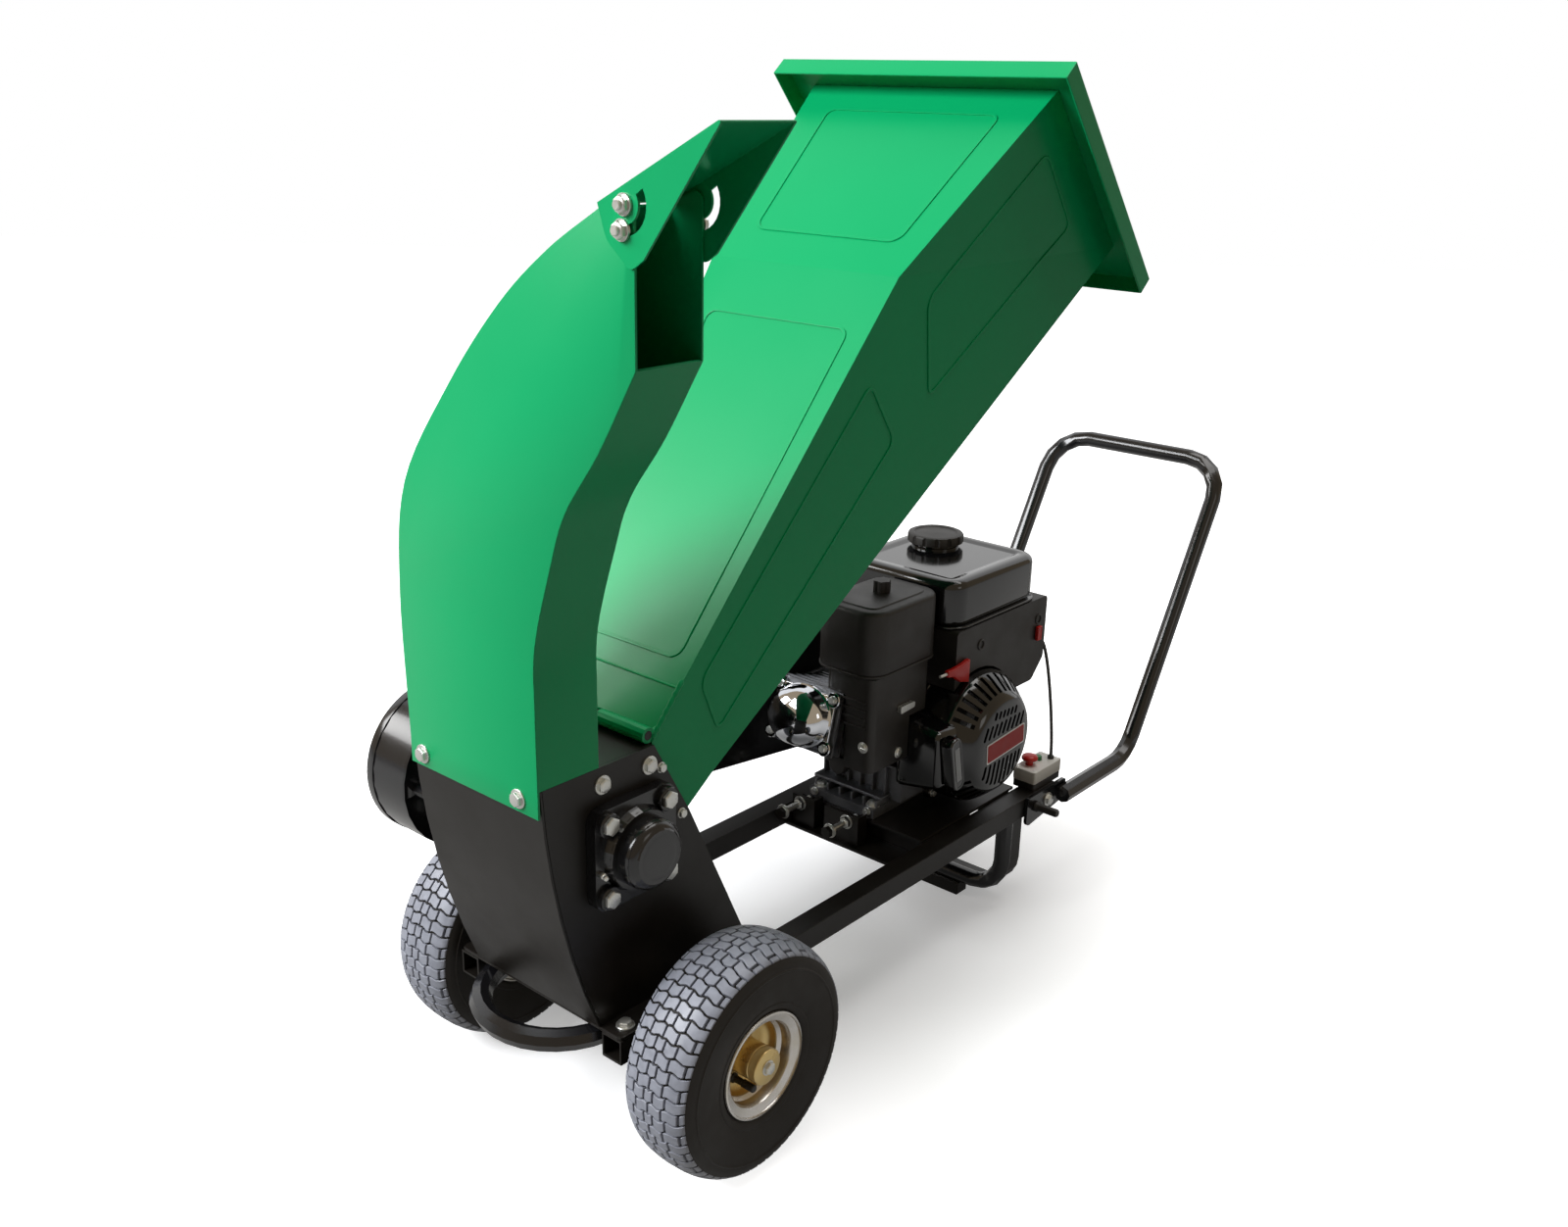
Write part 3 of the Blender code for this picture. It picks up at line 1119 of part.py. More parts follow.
def make_crankcase():
    """Crankcase with its feet, bored for the crankshaft."""
    base = ENGINE_BASE
    front, rear = CRANK_Y - BASE_FRONT, CRANK_Y + BASE_REAR
    dome = arc((CRANK_Y, CRANK_Z), CASE_RADIUS, -38, 135, 12)
    high, low = deck()
    outline = [(front, base), (rear, base), (rear, base + BASE_THICKNESS)] + dome
    outline += [high, low, (low[0], base + BASE_THICKNESS), (front, base + BASE_THICKNESS)]
    bore = arc((CRANK_Y, CRANK_Z), CRANK_RADIUS + RUNNING / 2, 0, 342, 19)
    case = as_mesh(plate_across("crankcase", outline, BASE_LEFT, CASE_RIGHT, "cast_aluminium", [bore]))
    clear = boxes(((BASE_RIGHT, front - 0.01, base - 0.01), (CASE_RIGHT + 0.01, rear + 0.01, base + 0.02)))
    cut(case, part("foot_clearance", clear, "cast_aluminium"))
    inner = CRANK_RADIUS + RUNNING / 2
    side = [(0.030, 0.022), (0.050, 0.010), (0.070, 0.0), (0.070, -0.003), (inner, -0.003), (inner, 0.022)]
    weld(case, turned("side_cover", side, "cast_aluminium", (BASE_LEFT, CRANK_Y, CRANK_Z),
                      axis="-X", steps=18, closed=True))


def deck():
    """Upper and lower edge of the crankcase's face under the cylinder, in (Y, Z)."""
    along = Vector((-math.cos(CYLINDER_SLOPE), math.sin(CYLINDER_SLOPE))) * DECK_DISTANCE
    across = Vector((math.sin(CYLINDER_SLOPE), math.cos(CYLINDER_SLOPE))) * DECK_HALF
    centre = Vector((CRANK_Y, CRANK_Z)) + along
    return tuple(centre + across), tuple(centre - across)


def make_dipstick():
    """Oil filler cap on the crankcase's front."""
    y, z = deck()[1][0] - SEAT, ENGINE_BASE + 0.052
    profile = [(0, 0.018), (0.013, 0.018), (0.015, 0.016), (0.015, 0.006), (0.009, 0.006), (0.009, 0), (0, 0)]
    turned("dipstick", profile, "black_plastic", (-0.060, y, z), axis="-Y", steps=16)


def cylinder_frame():
    """Matrix whose local z runs along the cylinder, from the crankshaft axis."""
    along = Vector((0, -math.cos(CYLINDER_SLOPE), math.sin(CYLINDER_SLOPE)))
    turn = along.to_track_quat("Z", "Y").to_matrix().to_4x4()
    return Matrix.Translation((CYLINDER_X, CRANK_Y, CRANK_Z)) @ turn


def make_cylinder():
    """Finned barrel and head, with the rocker cover on its end."""
    place = cylinder_frame()
    foot = DECK_DISTANCE + SEAT
    profile = [(0, HEAD_DISTANCE), (0.036, HEAD_DISTANCE), (0.036, foot), (0, foot)]
    barrel = turned("cylinder", profile, "cast_aluminium", (0, 0, 0), axis="Z", steps=16)
    barrel.matrix_world = place
    half = FIN_SIZE / 2
    bm = bmesh.new()
    for i in range(FIN_COUNT):
        z = HEAD_DISTANCE - FIN_THICKNESS - 0.002 - i * FIN_PITCH
        add_box(bm, (-half, -half * 0.8, z), (half, half * 0.8, z + FIN_THICKNESS))
    fins = part("fins", mesh_of(bm), "cast_aluminium")
    fins.matrix_world = place
    weld(barrel, fins)

    z0 = HEAD_DISTANCE + SEAT
    a, b = ROCKER_FLANGE
    flange = flat(rounded([(-a, -b), (a, -b), (a, b), (-a, b)], [ROCKER_CORNER] * 4, 3), ROCKER_SHEET)
    cover = as_mesh(part("rocker_cover", flange, "chrome"))
    cover.matrix_world = place @ Matrix.Translation((0, 0, z0 + ROCKER_SHEET / 2))
    crown = [(radius, ROCKER_HEIGHT - drop) for drop, radius in ROCKER_SHOULDERS]
    foot = [(radius, rise) for rise, radius in reversed(ROCKER_FOOT)]
    dome = [(0, ROCKER_HEIGHT), *crown, *foot, (0, ROCKER_FOOT[0][0])]
    cap = turned("rocker_dome", dome, "chrome", (0, 0, 0), axis="Z", steps=24)
    cap.matrix_world = place @ Matrix.Translation((0, 0, z0)) @ Matrix.Diagonal((1.16, 1.0, 1.0, 1.0))
    weld(cover, cap)


def make_muffler():
    """Pressed steel muffler on the head's left side."""
    y0, z0 = CRANK_Y - 0.215, CRANK_Z + 0.075
    x1 = CYLINDER_X - FIN_SIZE / 2 - SEAT
    body = boxes(((x1 - MUFFLER_WIDTH, y0, z0), (x1, y0 + 0.115, z0 + 0.080)))
    round_edges(part("muffler", body, "black_powder_coat"), 0.014, 2)


def make_air_filter():
    """Housing over the carburettor and the cover above it."""
    x1 = FILTER_RIGHT
    y0 = CRANK_Y - FILTER_AHEAD
    top = ENGINE_BASE + FILTER_TOP
    joint = top - FILTER_HEIGHT
    outline = rounded([(x1 - FILTER_WIDTH, y0), (x1, y0), (x1, y0 + FILTER_LENGTH),
                       (x1 - FILTER_WIDTH, y0 + FILTER_LENGTH)], [0.016] * 4, 3)
    cover = as_mesh(part("filter_cover", flat(outline, FILTER_HEIGHT - SEAT), "black_plastic",
                         (0, 0, (top + joint + SEAT) / 2)))
    round_edges(cover, 0.006, 2, 60)

    lower = joint - FILTER_BODY_HEIGHT
    inset = FILTER_INSET
    outer, inner = x1 - inset, x1 - inset - FILTER_BODY_WIDTH
    rear = y0 + FILTER_LENGTH - FILTER_BODY_REAR
    front = [(inner, y0 + inset), (outer, y0 + inset), (outer, rear - FILTER_BODY_REAR),
             (outer - FILTER_BODY_NECK, rear), (inner, y0 + FILTER_BODY_SIDE)]
    body = as_mesh(part("filter_body", flat(rounded(front, [0.012, 0.012, 0.008, 0.004, 0.004], 3),
                                            joint - lower), "black_plastic", (0, 0, (lower + joint) / 2)))
    place = cylinder_frame()
    clear = part("head_clearance", boxes(((-0.0595, -0.0455, 0.05), (0.0595, 0.0455, 0.35))),
                 "black_plastic")
    clear.matrix_world = place
    cut(body, clear)
    bm = bmesh.new()
    add_rod(bm, (-0.1, CRANK_Y, CRANK_Z), (0.2, CRANK_Y, CRANK_Z),
            math.hypot(DECK_DISTANCE, DECK_HALF) + RUNNING, 36)
    cut(body, part("case_clearance", mesh_of(bm), "black_plastic"))
    x, y, z = grip_place()
    lobe = boxes(((CASE_RIGHT - RUNNING, y - 0.021, z - 0.058), (x, y + 0.03, z + 0.058)))
    cut(body, part("lobe_clearance", lobe, "black_plastic"))


def make_fuel_tank():
    """Painted steel tank over the crankcase."""
    top = ENGINE_BASE + TANK_TOP
    y0 = CRANK_Y - TANK_AHEAD
    low = (TANK_RIGHT - TANK_WIDTH, y0, top - TANK_HEIGHT)
    high = (TANK_RIGHT, y0 + TANK_LENGTH, top)
    tank = part("fuel_tank", boxes((low, high)), "black_plastic")
    step = tank.modifiers.new("edges", "BEVEL")
    step.width = 0.018
    step.segments = 3
    neck = bmesh.new()
    x, y, _ = cap_place()
    add_rod(neck, (x, y, top - 0.004), (x, y, top + 0.004), CAP_RADIUS - 0.010, 20)
    weld(tank, part("filler_neck", mesh_of(neck), "black_plastic"))


def cap_place():
    """Underside centre of the fuel cap."""
    return CAP_X, CRANK_Y + 0.084, ENGINE_BASE + TANK_TOP + 0.004 + SEAT


def make_fuel_cap():
    """Fuel cap with finger lobes."""
    x, y, z = cap_place()
    lobes = []
    for i in range(40):
        angle = 2 * math.pi * i / 40
        radius = CAP_RADIUS - 0.0015 * (1 - math.cos(10 * angle))
        lobes.append((radius * math.cos(angle), radius * math.sin(angle)))
    part("fuel_cap", flat(lobes, CAP_HEIGHT - 0.004), "black_plastic", (x, y, z + (CAP_HEIGHT - 0.004) / 2))


def make_control_panel():
    """Moulded panel under the tank, cut away round the recoil cover."""
    x1, x0 = PANEL_FACE, PANEL_LEFT
    top = ENGINE_BASE + TANK_TOP - TANK_HEIGHT - SEAT
    y0, y1 = CRANK_Y - TANK_AHEAD + 0.002, CRANK_Y + PANEL_REAR
    low = CRANK_Z + PANEL_RISE
    corners = [(y0, low), (y1 - 0.028, low), (y1, low + 0.030), (y1, top), (y0, top)]
    panel = as_mesh(plate_across("control_panel", rounded(corners, [0.006, 0.012, 0.012, 0.006, 0.006], 3),
                                 x0, x1, "black_plastic"))
    bm = bmesh.new()
    add_rod(bm, (x0 - 0.01, CRANK_Y, CRANK_Z), (x1 + 0.01, CRANK_Y, CRANK_Z), RECOIL_RADIUS + 0.004, 32)
    cut(panel, part("recoil_clearance", mesh_of(bm), "black_plastic"))


def make_recoil_cover():
    """Fan and starter cover: a stepped dome with vents and the rope guide's lobe."""
    back = CASE_RIGHT + SEAT
    deep = RECOIL_FACE - back
    sheet = RECOIL_SHEET
    radii = (RECOIL_DOME_RADIUS, RECOIL_RADIUS - RECOIL_BEVELS[1], RECOIL_RADIUS)
    steps = [(radius, deep - drop) for radius, drop in zip(radii, RECOIL_DROPS)]
    outside = [(0, deep), (RECOIL_DOME_RADIUS - RECOIL_BEVELS[0], deep), *steps, (RECOIL_RADIUS, 0)]
    inside = [(radius - sheet, height - sheet) for radius, height in reversed(outside[1:-1])]
    profile = outside + [(RECOIL_RADIUS - sheet, 0)] + inside + [(0, deep - sheet)]
    cover = turned("recoil_cover", profile, "black_plastic", (back, CRANK_Y, CRANK_Z), steps=28)
    bm = bmesh.new()
    size = Matrix.Diagonal((*VENT_SIZE, 1))
    for i in range(VENTS):
        if i in (5, 6):
            continue
        turn = Matrix.Rotation(2 * math.pi * (i + 0.5) / VENTS, 4, "X")
        place = Matrix.Translation((back, CRANK_Y, CRANK_Z)) @ turn
        bmesh.ops.create_cube(bm, size=1.0, matrix=place @ Matrix.Translation((deep, 0, VENT_RADIUS)) @ size)
    cut(cover, part("vents", mesh_of(bm), "black_plastic"))

    x, y, z = grip_place()
    ahead, behind, low, high = ROPE_GUIDE
    lobe = rounded([(y - ahead, z - low), (y + behind, z - high), (y + behind, z + high),
                    (y - ahead, z + low)], [0.010, 0.004, 0.004, 0.010], 3)
    hole = arc((y, z), ROPE_HOLE, 0, 330, 11)
    guide = as_mesh(plate_across("rope_guide", lobe, back, x - SEAT, "black_plastic", [hole]))
    bm = bmesh.new()
    add_rod(bm, (0, CRANK_Y, CRANK_Z), (back + deep, CRANK_Y, CRANK_Z), RECOIL_RADIUS - sheet / 2, 36)
    cut(guide, part("round_clearance", mesh_of(bm), "black_plastic"))
    weld(cover, guide)


def grip_place():
    """Centre of the starter grip's inner face."""
    return RECOIL_FACE - GRIP_INSET, CRANK_Y - GRIP_FROM_CRANK[0], CRANK_Z + GRIP_FROM_CRANK[1]


def make_starter_grip():
    """T grip with the first of its rope, resting on the cover's lobe."""
    x, y, z = grip_place()
    grip = boxes(((x, y - 0.012, z - 0.040), (x + 0.020, y + 0.012, z + 0.040)))
    handle = part("starter_grip", grip, "black_plastic")
    round_edges(handle, 0.006, 2)
    rope = bmesh.new()
    add_rod(rope, (x - 0.045, y, z), (x + 0.004, y, z), 0.0025, 8)
    weld(handle, part("rope", mesh_of(rope), "black_plastic"))


def make_flywheel():
    """Fan flywheel behind the recoil cover."""
    back = CASE_RIGHT + FLYWHEEL_GAP
    bore = CRANK_RADIUS + SEAT
    foot, face, height = FLYWHEEL_HUB
    profile = [(bore, height), (face, height), (foot, FLYWHEEL_RIM), (FLYWHEEL_RADIUS, FLYWHEEL_RIM),
               (FLYWHEEL_RADIUS, 0.0), (bore, 0.0)]
    centre = Matrix.Translation((back, CRANK_Y, CRANK_Z))
    wheel = turned("flywheel", profile, "cast_aluminium", centre.translation, steps=20, closed=True)
    bm = bmesh.new()
    size = Matrix.Diagonal((*FAN_BLADE, 1))
    rise = FLYWHEEL_RIM + FAN_BLADE[0] / 2 - 2 * RUNNING
    for i in range(FAN_BLADES):
        turn = Matrix.Rotation(2 * math.pi * i / FAN_BLADES, 4, "X")
        place = centre @ turn @ Matrix.Translation((rise, 0, FAN_BLADE_RADIUS))
        bmesh.ops.create_cube(bm, size=1.0, matrix=place @ size)
    weld(wheel, part("fan_blades", mesh_of(bm), "cast_aluminium"))


def make_crankshaft():
    """Crankshaft through the crankcase, from flywheel to drive pulley."""
    right = CASE_RIGHT + 0.036
    left = -(GUARD_OUTER - GUARD_SHEET - 0.012)
    profile = [(0, right), (CRANK_RADIUS, right), (CRANK_RADIUS, left), (0, left)]
    turned("crankshaft", profile, "knife_steel", (0, CRANK_Y, CRANK_Z), steps=20)


def make_levers():
    """Red throttle lever on the panel's face and the choke lever on the filter body's."""
    x = PANEL_FACE + SEAT
    y, z = throttle_place()
    outline = [(y + 0.004, z + 0.004), (y - 0.022, z + 0.004), (y - 0.030, z + 0.009),
               (y - 0.046, z + 0.010), (y - 0.046, z - 0.010), (y - 0.030, z - 0.009),
               (y - 0.022, z - 0.004), (y + 0.004, z - 0.004)]
    plate_across("throttle_lever", outline, x, x + 0.008, "red_plastic")
    x = FILTER_RIGHT - FILTER_INSET + SEAT
    y, z = choke_place()
    outline = rounded([(y - 0.005, z - 0.005), (y + 0.026, z - 0.003), (y + 0.026, z + 0.005),
                       (y - 0.005, z + 0.005)], [0.002] * 4, 2)
    plate_across("choke_lever", outline, x, x + 0.006, "zinc")


def throttle_place():
    """(Y, Z) of the throttle lever's pivot."""
    return CRANK_Y - 0.036, CRANK_Z + 0.113


def choke_place():
    """(Y, Z) of the choke lever's pivot."""
    return CRANK_Y - 0.150, CRANK_Z + 0.077


def make_filter_knob():
    """Wing knob that holds the filter cover."""
    x = FILTER_RIGHT - FILTER_WIDTH / 2 - 0.003
    y = CRANK_Y - FILTER_AHEAD + FILTER_LENGTH * 0.56
    z = ENGINE_BASE + FILTER_TOP + SEAT
    star = []
    for i in range(24):
        angle = 2 * math.pi * i / 24
        radius = 0.0125 - 0.0012 * (1 - math.cos(6 * angle))
        star.append((radius * math.cos(angle), radius * math.sin(angle)))
    part("filter_knob", flat(star, 0.016), "black_plastic", (x, y, z + 0.008))


def make_engine_switch():
    """Red rocker on the control panel's face."""
    x = PANEL_FACE + SEAT
    y, z = CRANK_Y + 0.150, CRANK_Z + 0.112
    rocker = boxes(((x, y - 0.006, z - 0.011), (x + 0.006, y + 0.006, z + 0.011)))
    round_edges(part("engine_switch", rocker, "red_plastic"), 0.0015, 1)


# Control box
def box_corners():
    """Corners of the control box on the right rail."""
    y1 = AXLE_Y + 0.786
    low = (RAIL_INNER - 0.010, y1 - 0.074, RAIL_TOP + SEAT)
    return low, (RAIL_OUTER - 0.002, y1, RAIL_TOP + 0.030)


def make_control_box():
    """Box with its lid, bored for two push buttons."""
    low, high = box_corners()
    box = part("control_box", boxes((low, high)), "white_plastic")
    round_edges(box, 0.002, 1)
    bm = bmesh.new()
    for x, y in button_places():
        add_rod(bm, (x, y, high[2] - 0.012), (x, y, high[2] + 0.01), 0.0062, 12)
    cut(box, part("button_bores", mesh_of(bm), "white_plastic"))
    for name, (x, y), cap, height, colour in (
            ("stop_button", button_places()[0], 0.0120, 0.008, "red_plastic"),
            ("start_button", button_places()[1], 0.0055, 0.002, "green_plastic")):
        rise = 0.008 if name == "stop_button" else 0.004
        base = high[2]
        profile = [(0, rise + height), (cap - 0.002, rise + height), (cap, rise + height / 2),
                   (cap, rise), (0.0055, rise), (0.0055, -0.003), (0, -0.003)]
        if name == "start_button":
            profile = [(0, rise + height), (cap, rise + height), (cap, -0.003), (0, -0.003)]
        turned(name, profile, colour, (x, y, base), axis="Z", steps=12)


def button_places():
    """(X, Y) of the stop and start buttons."""
    low, high = box_corners()
    x = low[0] + 0.014
    return (x, low[1] + 0.022), (x, low[1] + 0.046)


def make_engine_lead():
    """Short lead from the control panel down to the box."""
    low, high = box_corners()
    start_point = Vector((PANEL_FACE - 0.010, CRANK_Y + PANEL_REAR + SEAT, CRANK_Z + 0.090))
    end_point = Vector((high[0] - 0.012, high[1] - 0.012, high[2] + SEAT))
    out, down = Vector((0, 0.006, 0)), Vector((0, 0, 0.006))
    a, d = start_point + out, end_point + down
    b, c = a + out * 4, d + down * 7
    route = [((1 - t) ** 3 * a + 3 * (1 - t) ** 2 * t * b + 3 * (1 - t) * t * t * c + t ** 3 * d)
             for t in (i / 11 for i in range(12))]
    points = [tuple(q) for q in (start_point, *route, end_point)]
    part("engine_lead", pipe(points, 0.0025), "black_plastic")


# Push handle
def handle_pivot():
    """(Y, Z) of the handle's pivot bolts."""
    return RAIL_Y1 - HANDLE_PIVOT_INSET, RAIL_BOTTOM + RAIL_SIDE / 2 - HANDLE_PIVOT_DROP


def make_handle():
    """Bent tube with a flat plate and a pivot bolt on each end."""
    y, z = handle_pivot()
    plate_x = RAIL_OUTER + RUNNING
    x = plate_x + HANDLE_PLATE + HANDLE_TUBE_RADIUS - 0.0015
    low = Vector((0, y + HANDLE_LOWER_RUN, z + 0.004))
    rise = Vector((0, math.cos(HANDLE_RISE_ANGLE), math.sin(HANDLE_RISE_ANGLE)))
    top = low + rise * HANDLE_RISE_LENGTH
    start_y = y + 0.021
    half = [Vector((x, start_y, low.z)), Vector((x, low.y, low.z)), Vector((x, top.y, top.z))]
    path = half + [Vector((-v.x, v.y, v.z)) for v in reversed(half)]
    handle = as_mesh(part("handle", pipe(rounded_path(path, HANDLE_BEND), HANDLE_TUBE_RADIUS),
                          "black_powder_coat"))
    handle.data.shade_smooth()
    front = y - HANDLE_PLATE_LENGTH / 2 - 0.003
    rear = front + HANDLE_PLATE_LENGTH
    middle = z - 0.004
    high, deep = middle + HANDLE_PLATE_HEIGHT / 2, middle - HANDLE_PLATE_HEIGHT / 2
    outline = rounded([(front, deep), (rear, deep + 0.014), (rear, high), (front, high)],
                      [0.008, 0.010, 0.006, 0.006], 3)
    pin_hole = arc((y - PIN_AHEAD, z), PIN_RADIUS + RUNNING / 2, 0, 330, 11)
    for sign in (1, -1):
        x0, x1 = sorted((sign * plate_x, sign * (plate_x + HANDLE_PLATE)))
        plate = plate_across("end_plate", outline, x0, x1, "black_powder_coat", [pin_hole])
        weld(handle, as_mesh(plate))
        bm = bmesh.new()
        add_rod(bm, (sign * (RAIL_OUTER - RAIL_WALL), y, z), (sign * (plate_x + RUNNING), y, z), HANDLE_BOLT)
        weld(handle, part("pivot_shank", mesh_of(bm), "zinc"))
        bolt(handle, (sign * (plate_x + HANDLE_PLATE), y, z), (sign, 0, 0), M8_HEAD, M8_HEIGHT)


def make_lock_pins():
    """Pull pins through the handle plates, ahead of the pivots."""
    y, z = handle_pivot()
    for side, sign in (("right", 1), ("left", -1)):
        start_x = RAIL_OUTER + SEAT
        collar = RUNNING + HANDLE_PLATE
        profile = [(0, PIN_LENGTH), (PIN_RADIUS - 0.001, PIN_LENGTH), (PIN_RADIUS, PIN_LENGTH - 0.002),
                   (PIN_RADIUS, collar + 0.006), (PIN_RADIUS + 0.002, collar + 0.004),
                   (PIN_RADIUS + 0.002, collar), (PIN_RADIUS - 0.001, collar), (PIN_RADIUS - 0.001, 0), (0, 0)]
        turned("lock_pin_" + side, profile, "black_plastic", (sign * start_x, y - PIN_AHEAD, z),
               axis="X" if sign > 0 else "-X", steps=10)


def build():
    """Make every piece."""
    make_rails()
    make_front_loop()
    make_base_plate()
    make_axle()
    make_wheel("right", 1)
    make_wheel("left", -1)
    make_rear_leg()
    make_housing()
    make_anvil()
    make_rotor()
    make_bearings()
    make_chute()
    make_deflector()
    make_hopper()
    make_hopper_rim()
    make_belt_drive()
    make_engine_mount()
    make_crankcase()
    make_dipstick()
    make_cylinder()
    make_muffler()
    make_air_filter()
    make_fuel_tank()
    make_fuel_cap()
    make_control_panel()
    make_recoil_cover()
    make_starter_grip()
    make_flywheel()
    make_crankshaft()
    make_levers()
    make_filter_knob()
    make_engine_switch()
    make_control_box()
    make_engine_lead()
    make_handle()
    make_lock_pins()


build()
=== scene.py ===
# %% [markdown]
# # A petrol chipper shredder, dressed for a studio photograph
#
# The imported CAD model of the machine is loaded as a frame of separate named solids. Each solid
# either keeps its shape and gets a better material, or is replaced by a more detailed piece that
# stands in the same place and moves with the same body.

# %% Load the frame
import math

import bpy
from mathutils import Matrix, Vector


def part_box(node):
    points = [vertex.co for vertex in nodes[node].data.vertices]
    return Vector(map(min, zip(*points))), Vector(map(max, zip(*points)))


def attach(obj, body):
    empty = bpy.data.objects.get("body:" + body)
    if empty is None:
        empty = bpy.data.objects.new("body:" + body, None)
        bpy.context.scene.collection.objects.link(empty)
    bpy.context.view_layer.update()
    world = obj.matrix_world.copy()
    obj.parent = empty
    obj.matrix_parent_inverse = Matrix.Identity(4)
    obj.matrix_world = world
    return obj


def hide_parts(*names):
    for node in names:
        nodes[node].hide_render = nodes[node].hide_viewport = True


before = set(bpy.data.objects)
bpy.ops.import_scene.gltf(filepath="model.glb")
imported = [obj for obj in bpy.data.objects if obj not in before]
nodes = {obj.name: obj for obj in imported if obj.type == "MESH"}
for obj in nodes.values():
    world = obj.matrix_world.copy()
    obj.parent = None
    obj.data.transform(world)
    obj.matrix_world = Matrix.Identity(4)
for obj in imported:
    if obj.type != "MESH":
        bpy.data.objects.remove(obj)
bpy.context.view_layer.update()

# %% [markdown]
# ## Small helpers for modelling by hand
#
# Blender's operators act on whatever is selected. These helpers select one object, or some of its
# faces, edges or points by their place, so that each later step reads like the work done with the
# mouse. All lengths in this file are in metres.

# %% Selecting and modifying
SAME_POINT = 0.00001
PARTS_OF_MESH = {"VERT": "vertices", "EDGE": "edges", "FACE": "polygons"}


def alone(*objects):
    """Select only these objects and make the first one active."""
    if bpy.context.object and bpy.context.object.mode != "OBJECT":
        bpy.ops.object.mode_set(mode="OBJECT")
    bpy.ops.object.select_all(action="DESELECT")
    for obj in objects:
        obj.select_set(True)
    if objects:
        bpy.context.view_layer.objects.active = objects[0]


def edit_all(obj):
    """Enter edit mode with everything selected."""
    alone(obj)
    bpy.ops.object.mode_set(mode="EDIT")
    bpy.ops.mesh.select_all(action="SELECT")


def edit_some(obj, kind, test):
    """Enter edit mode with the points, edges or faces selected that pass the test."""
    alone(obj)
    bpy.ops.object.mode_set(mode="EDIT")
    bpy.ops.mesh.select_mode(type=kind)
    bpy.ops.mesh.select_all(action="DESELECT")
    bpy.ops.object.mode_set(mode="OBJECT")
    for part in getattr(obj.data, PARTS_OF_MESH[kind]):
        part.select = test(part)
    bpy.ops.object.mode_set(mode="EDIT")


def edit_edges(obj, test):
    """Enter edit mode with the edges selected whose two ends pass the test."""
    edit_some(obj, "EDGE", lambda edge: test(*(obj.data.vertices[i].co for i in edge.vertices)))


def leave_edit(turn_out=False):
    """Go back to object mode, if asked with all faces turned outwards."""
    if turn_out:
        bpy.ops.mesh.select_all(action="SELECT")
        bpy.ops.mesh.normals_make_consistent(inside=False)
    bpy.ops.object.mode_set(mode="OBJECT")


def modify(obj, kind, **settings):
    """Add a modifier with its settings and apply it."""
    alone(obj)
    modifier = obj.modifiers.new(kind.lower(), kind)
    for name, value in settings.items():
        setattr(modifier, name, value)
    bpy.ops.object.modifier_apply(modifier=modifier.name)
    return obj


def round_edges(obj, width, segments=2, above=50):
    """Bevel the edges that are sharper than an angle in degrees."""
    return modify(obj, "BEVEL", width=width, segments=segments, limit_method="ANGLE",
                  angle_limit=math.radians(above))


def cut_away(obj, cutter):
    """Take a cutter's shape out of an object, and the cutter out of the scene."""
    modify(obj, "BOOLEAN", object=cutter, operation="DIFFERENCE", solver="EXACT")
    bpy.data.objects.remove(cutter)


def settle(obj):
    """Put an object's place, turn and size into its mesh."""
    alone(obj)
    bpy.ops.object.transform_apply(location=True, rotation=True, scale=True)
    return obj


def put(obj, place):
    """Move a settled object by a matrix, and put that into its mesh too."""
    obj.matrix_world = place
    return settle(obj)


def join(objects):
    """Join several meshes into the first one."""
    alone(*objects)
    if len(objects) > 1:
        bpy.ops.object.join()
    return objects[0]


def copy_of(obj, place):
    """A copy with its own mesh, moved by a matrix."""
    alone(obj)
    bpy.ops.object.duplicate()
    return put(bpy.context.object, place)


# %% [markdown]
# Two starting shapes cover most of a machine: a block with rounded corners, for castings and
# mouldings, and a turned shape, for everything with an axis. The turned shape is a circle that is
# extruded and resized from station to station, like a pot on a wheel.

# %% A rounded block and a turned shape
def block(low, high, corner=0.0, upright="Z", edge=0.0, segments=3):
    """A block between two corners, its upright edges rounded first and then all its edges."""
    low, high = Vector(low), Vector(high)
    alone()
    bpy.ops.mesh.primitive_cube_add(size=1, location=(low + high) / 2)
    obj = bpy.context.object
    obj.scale = high - low
    settle(obj)
    if corner:
        axis = "XYZ".index(upright)
        edit_edges(obj, lambda a, b: abs((a - b)[axis]) > (high - low)[axis] / 2)
        bpy.ops.mesh.bevel(offset=corner, segments=segments + 2, affect="EDGES")
        leave_edit()
    if edge:
        round_edges(obj, edge, segments)
    return obj


def facing(start, direction):
    """Matrix that puts local z along a direction, from a starting point."""
    turn = Vector(direction).to_track_quat("Z", "Y").to_matrix().to_4x4()
    return Matrix.Translation(start) @ turn


def spun(place, degrees, axis="X"):
    """Matrix that turns round an axis by some degrees and then moves to a place."""
    return Matrix.Translation(place) @ Matrix.Rotation(math.radians(degrees), 4, axis)


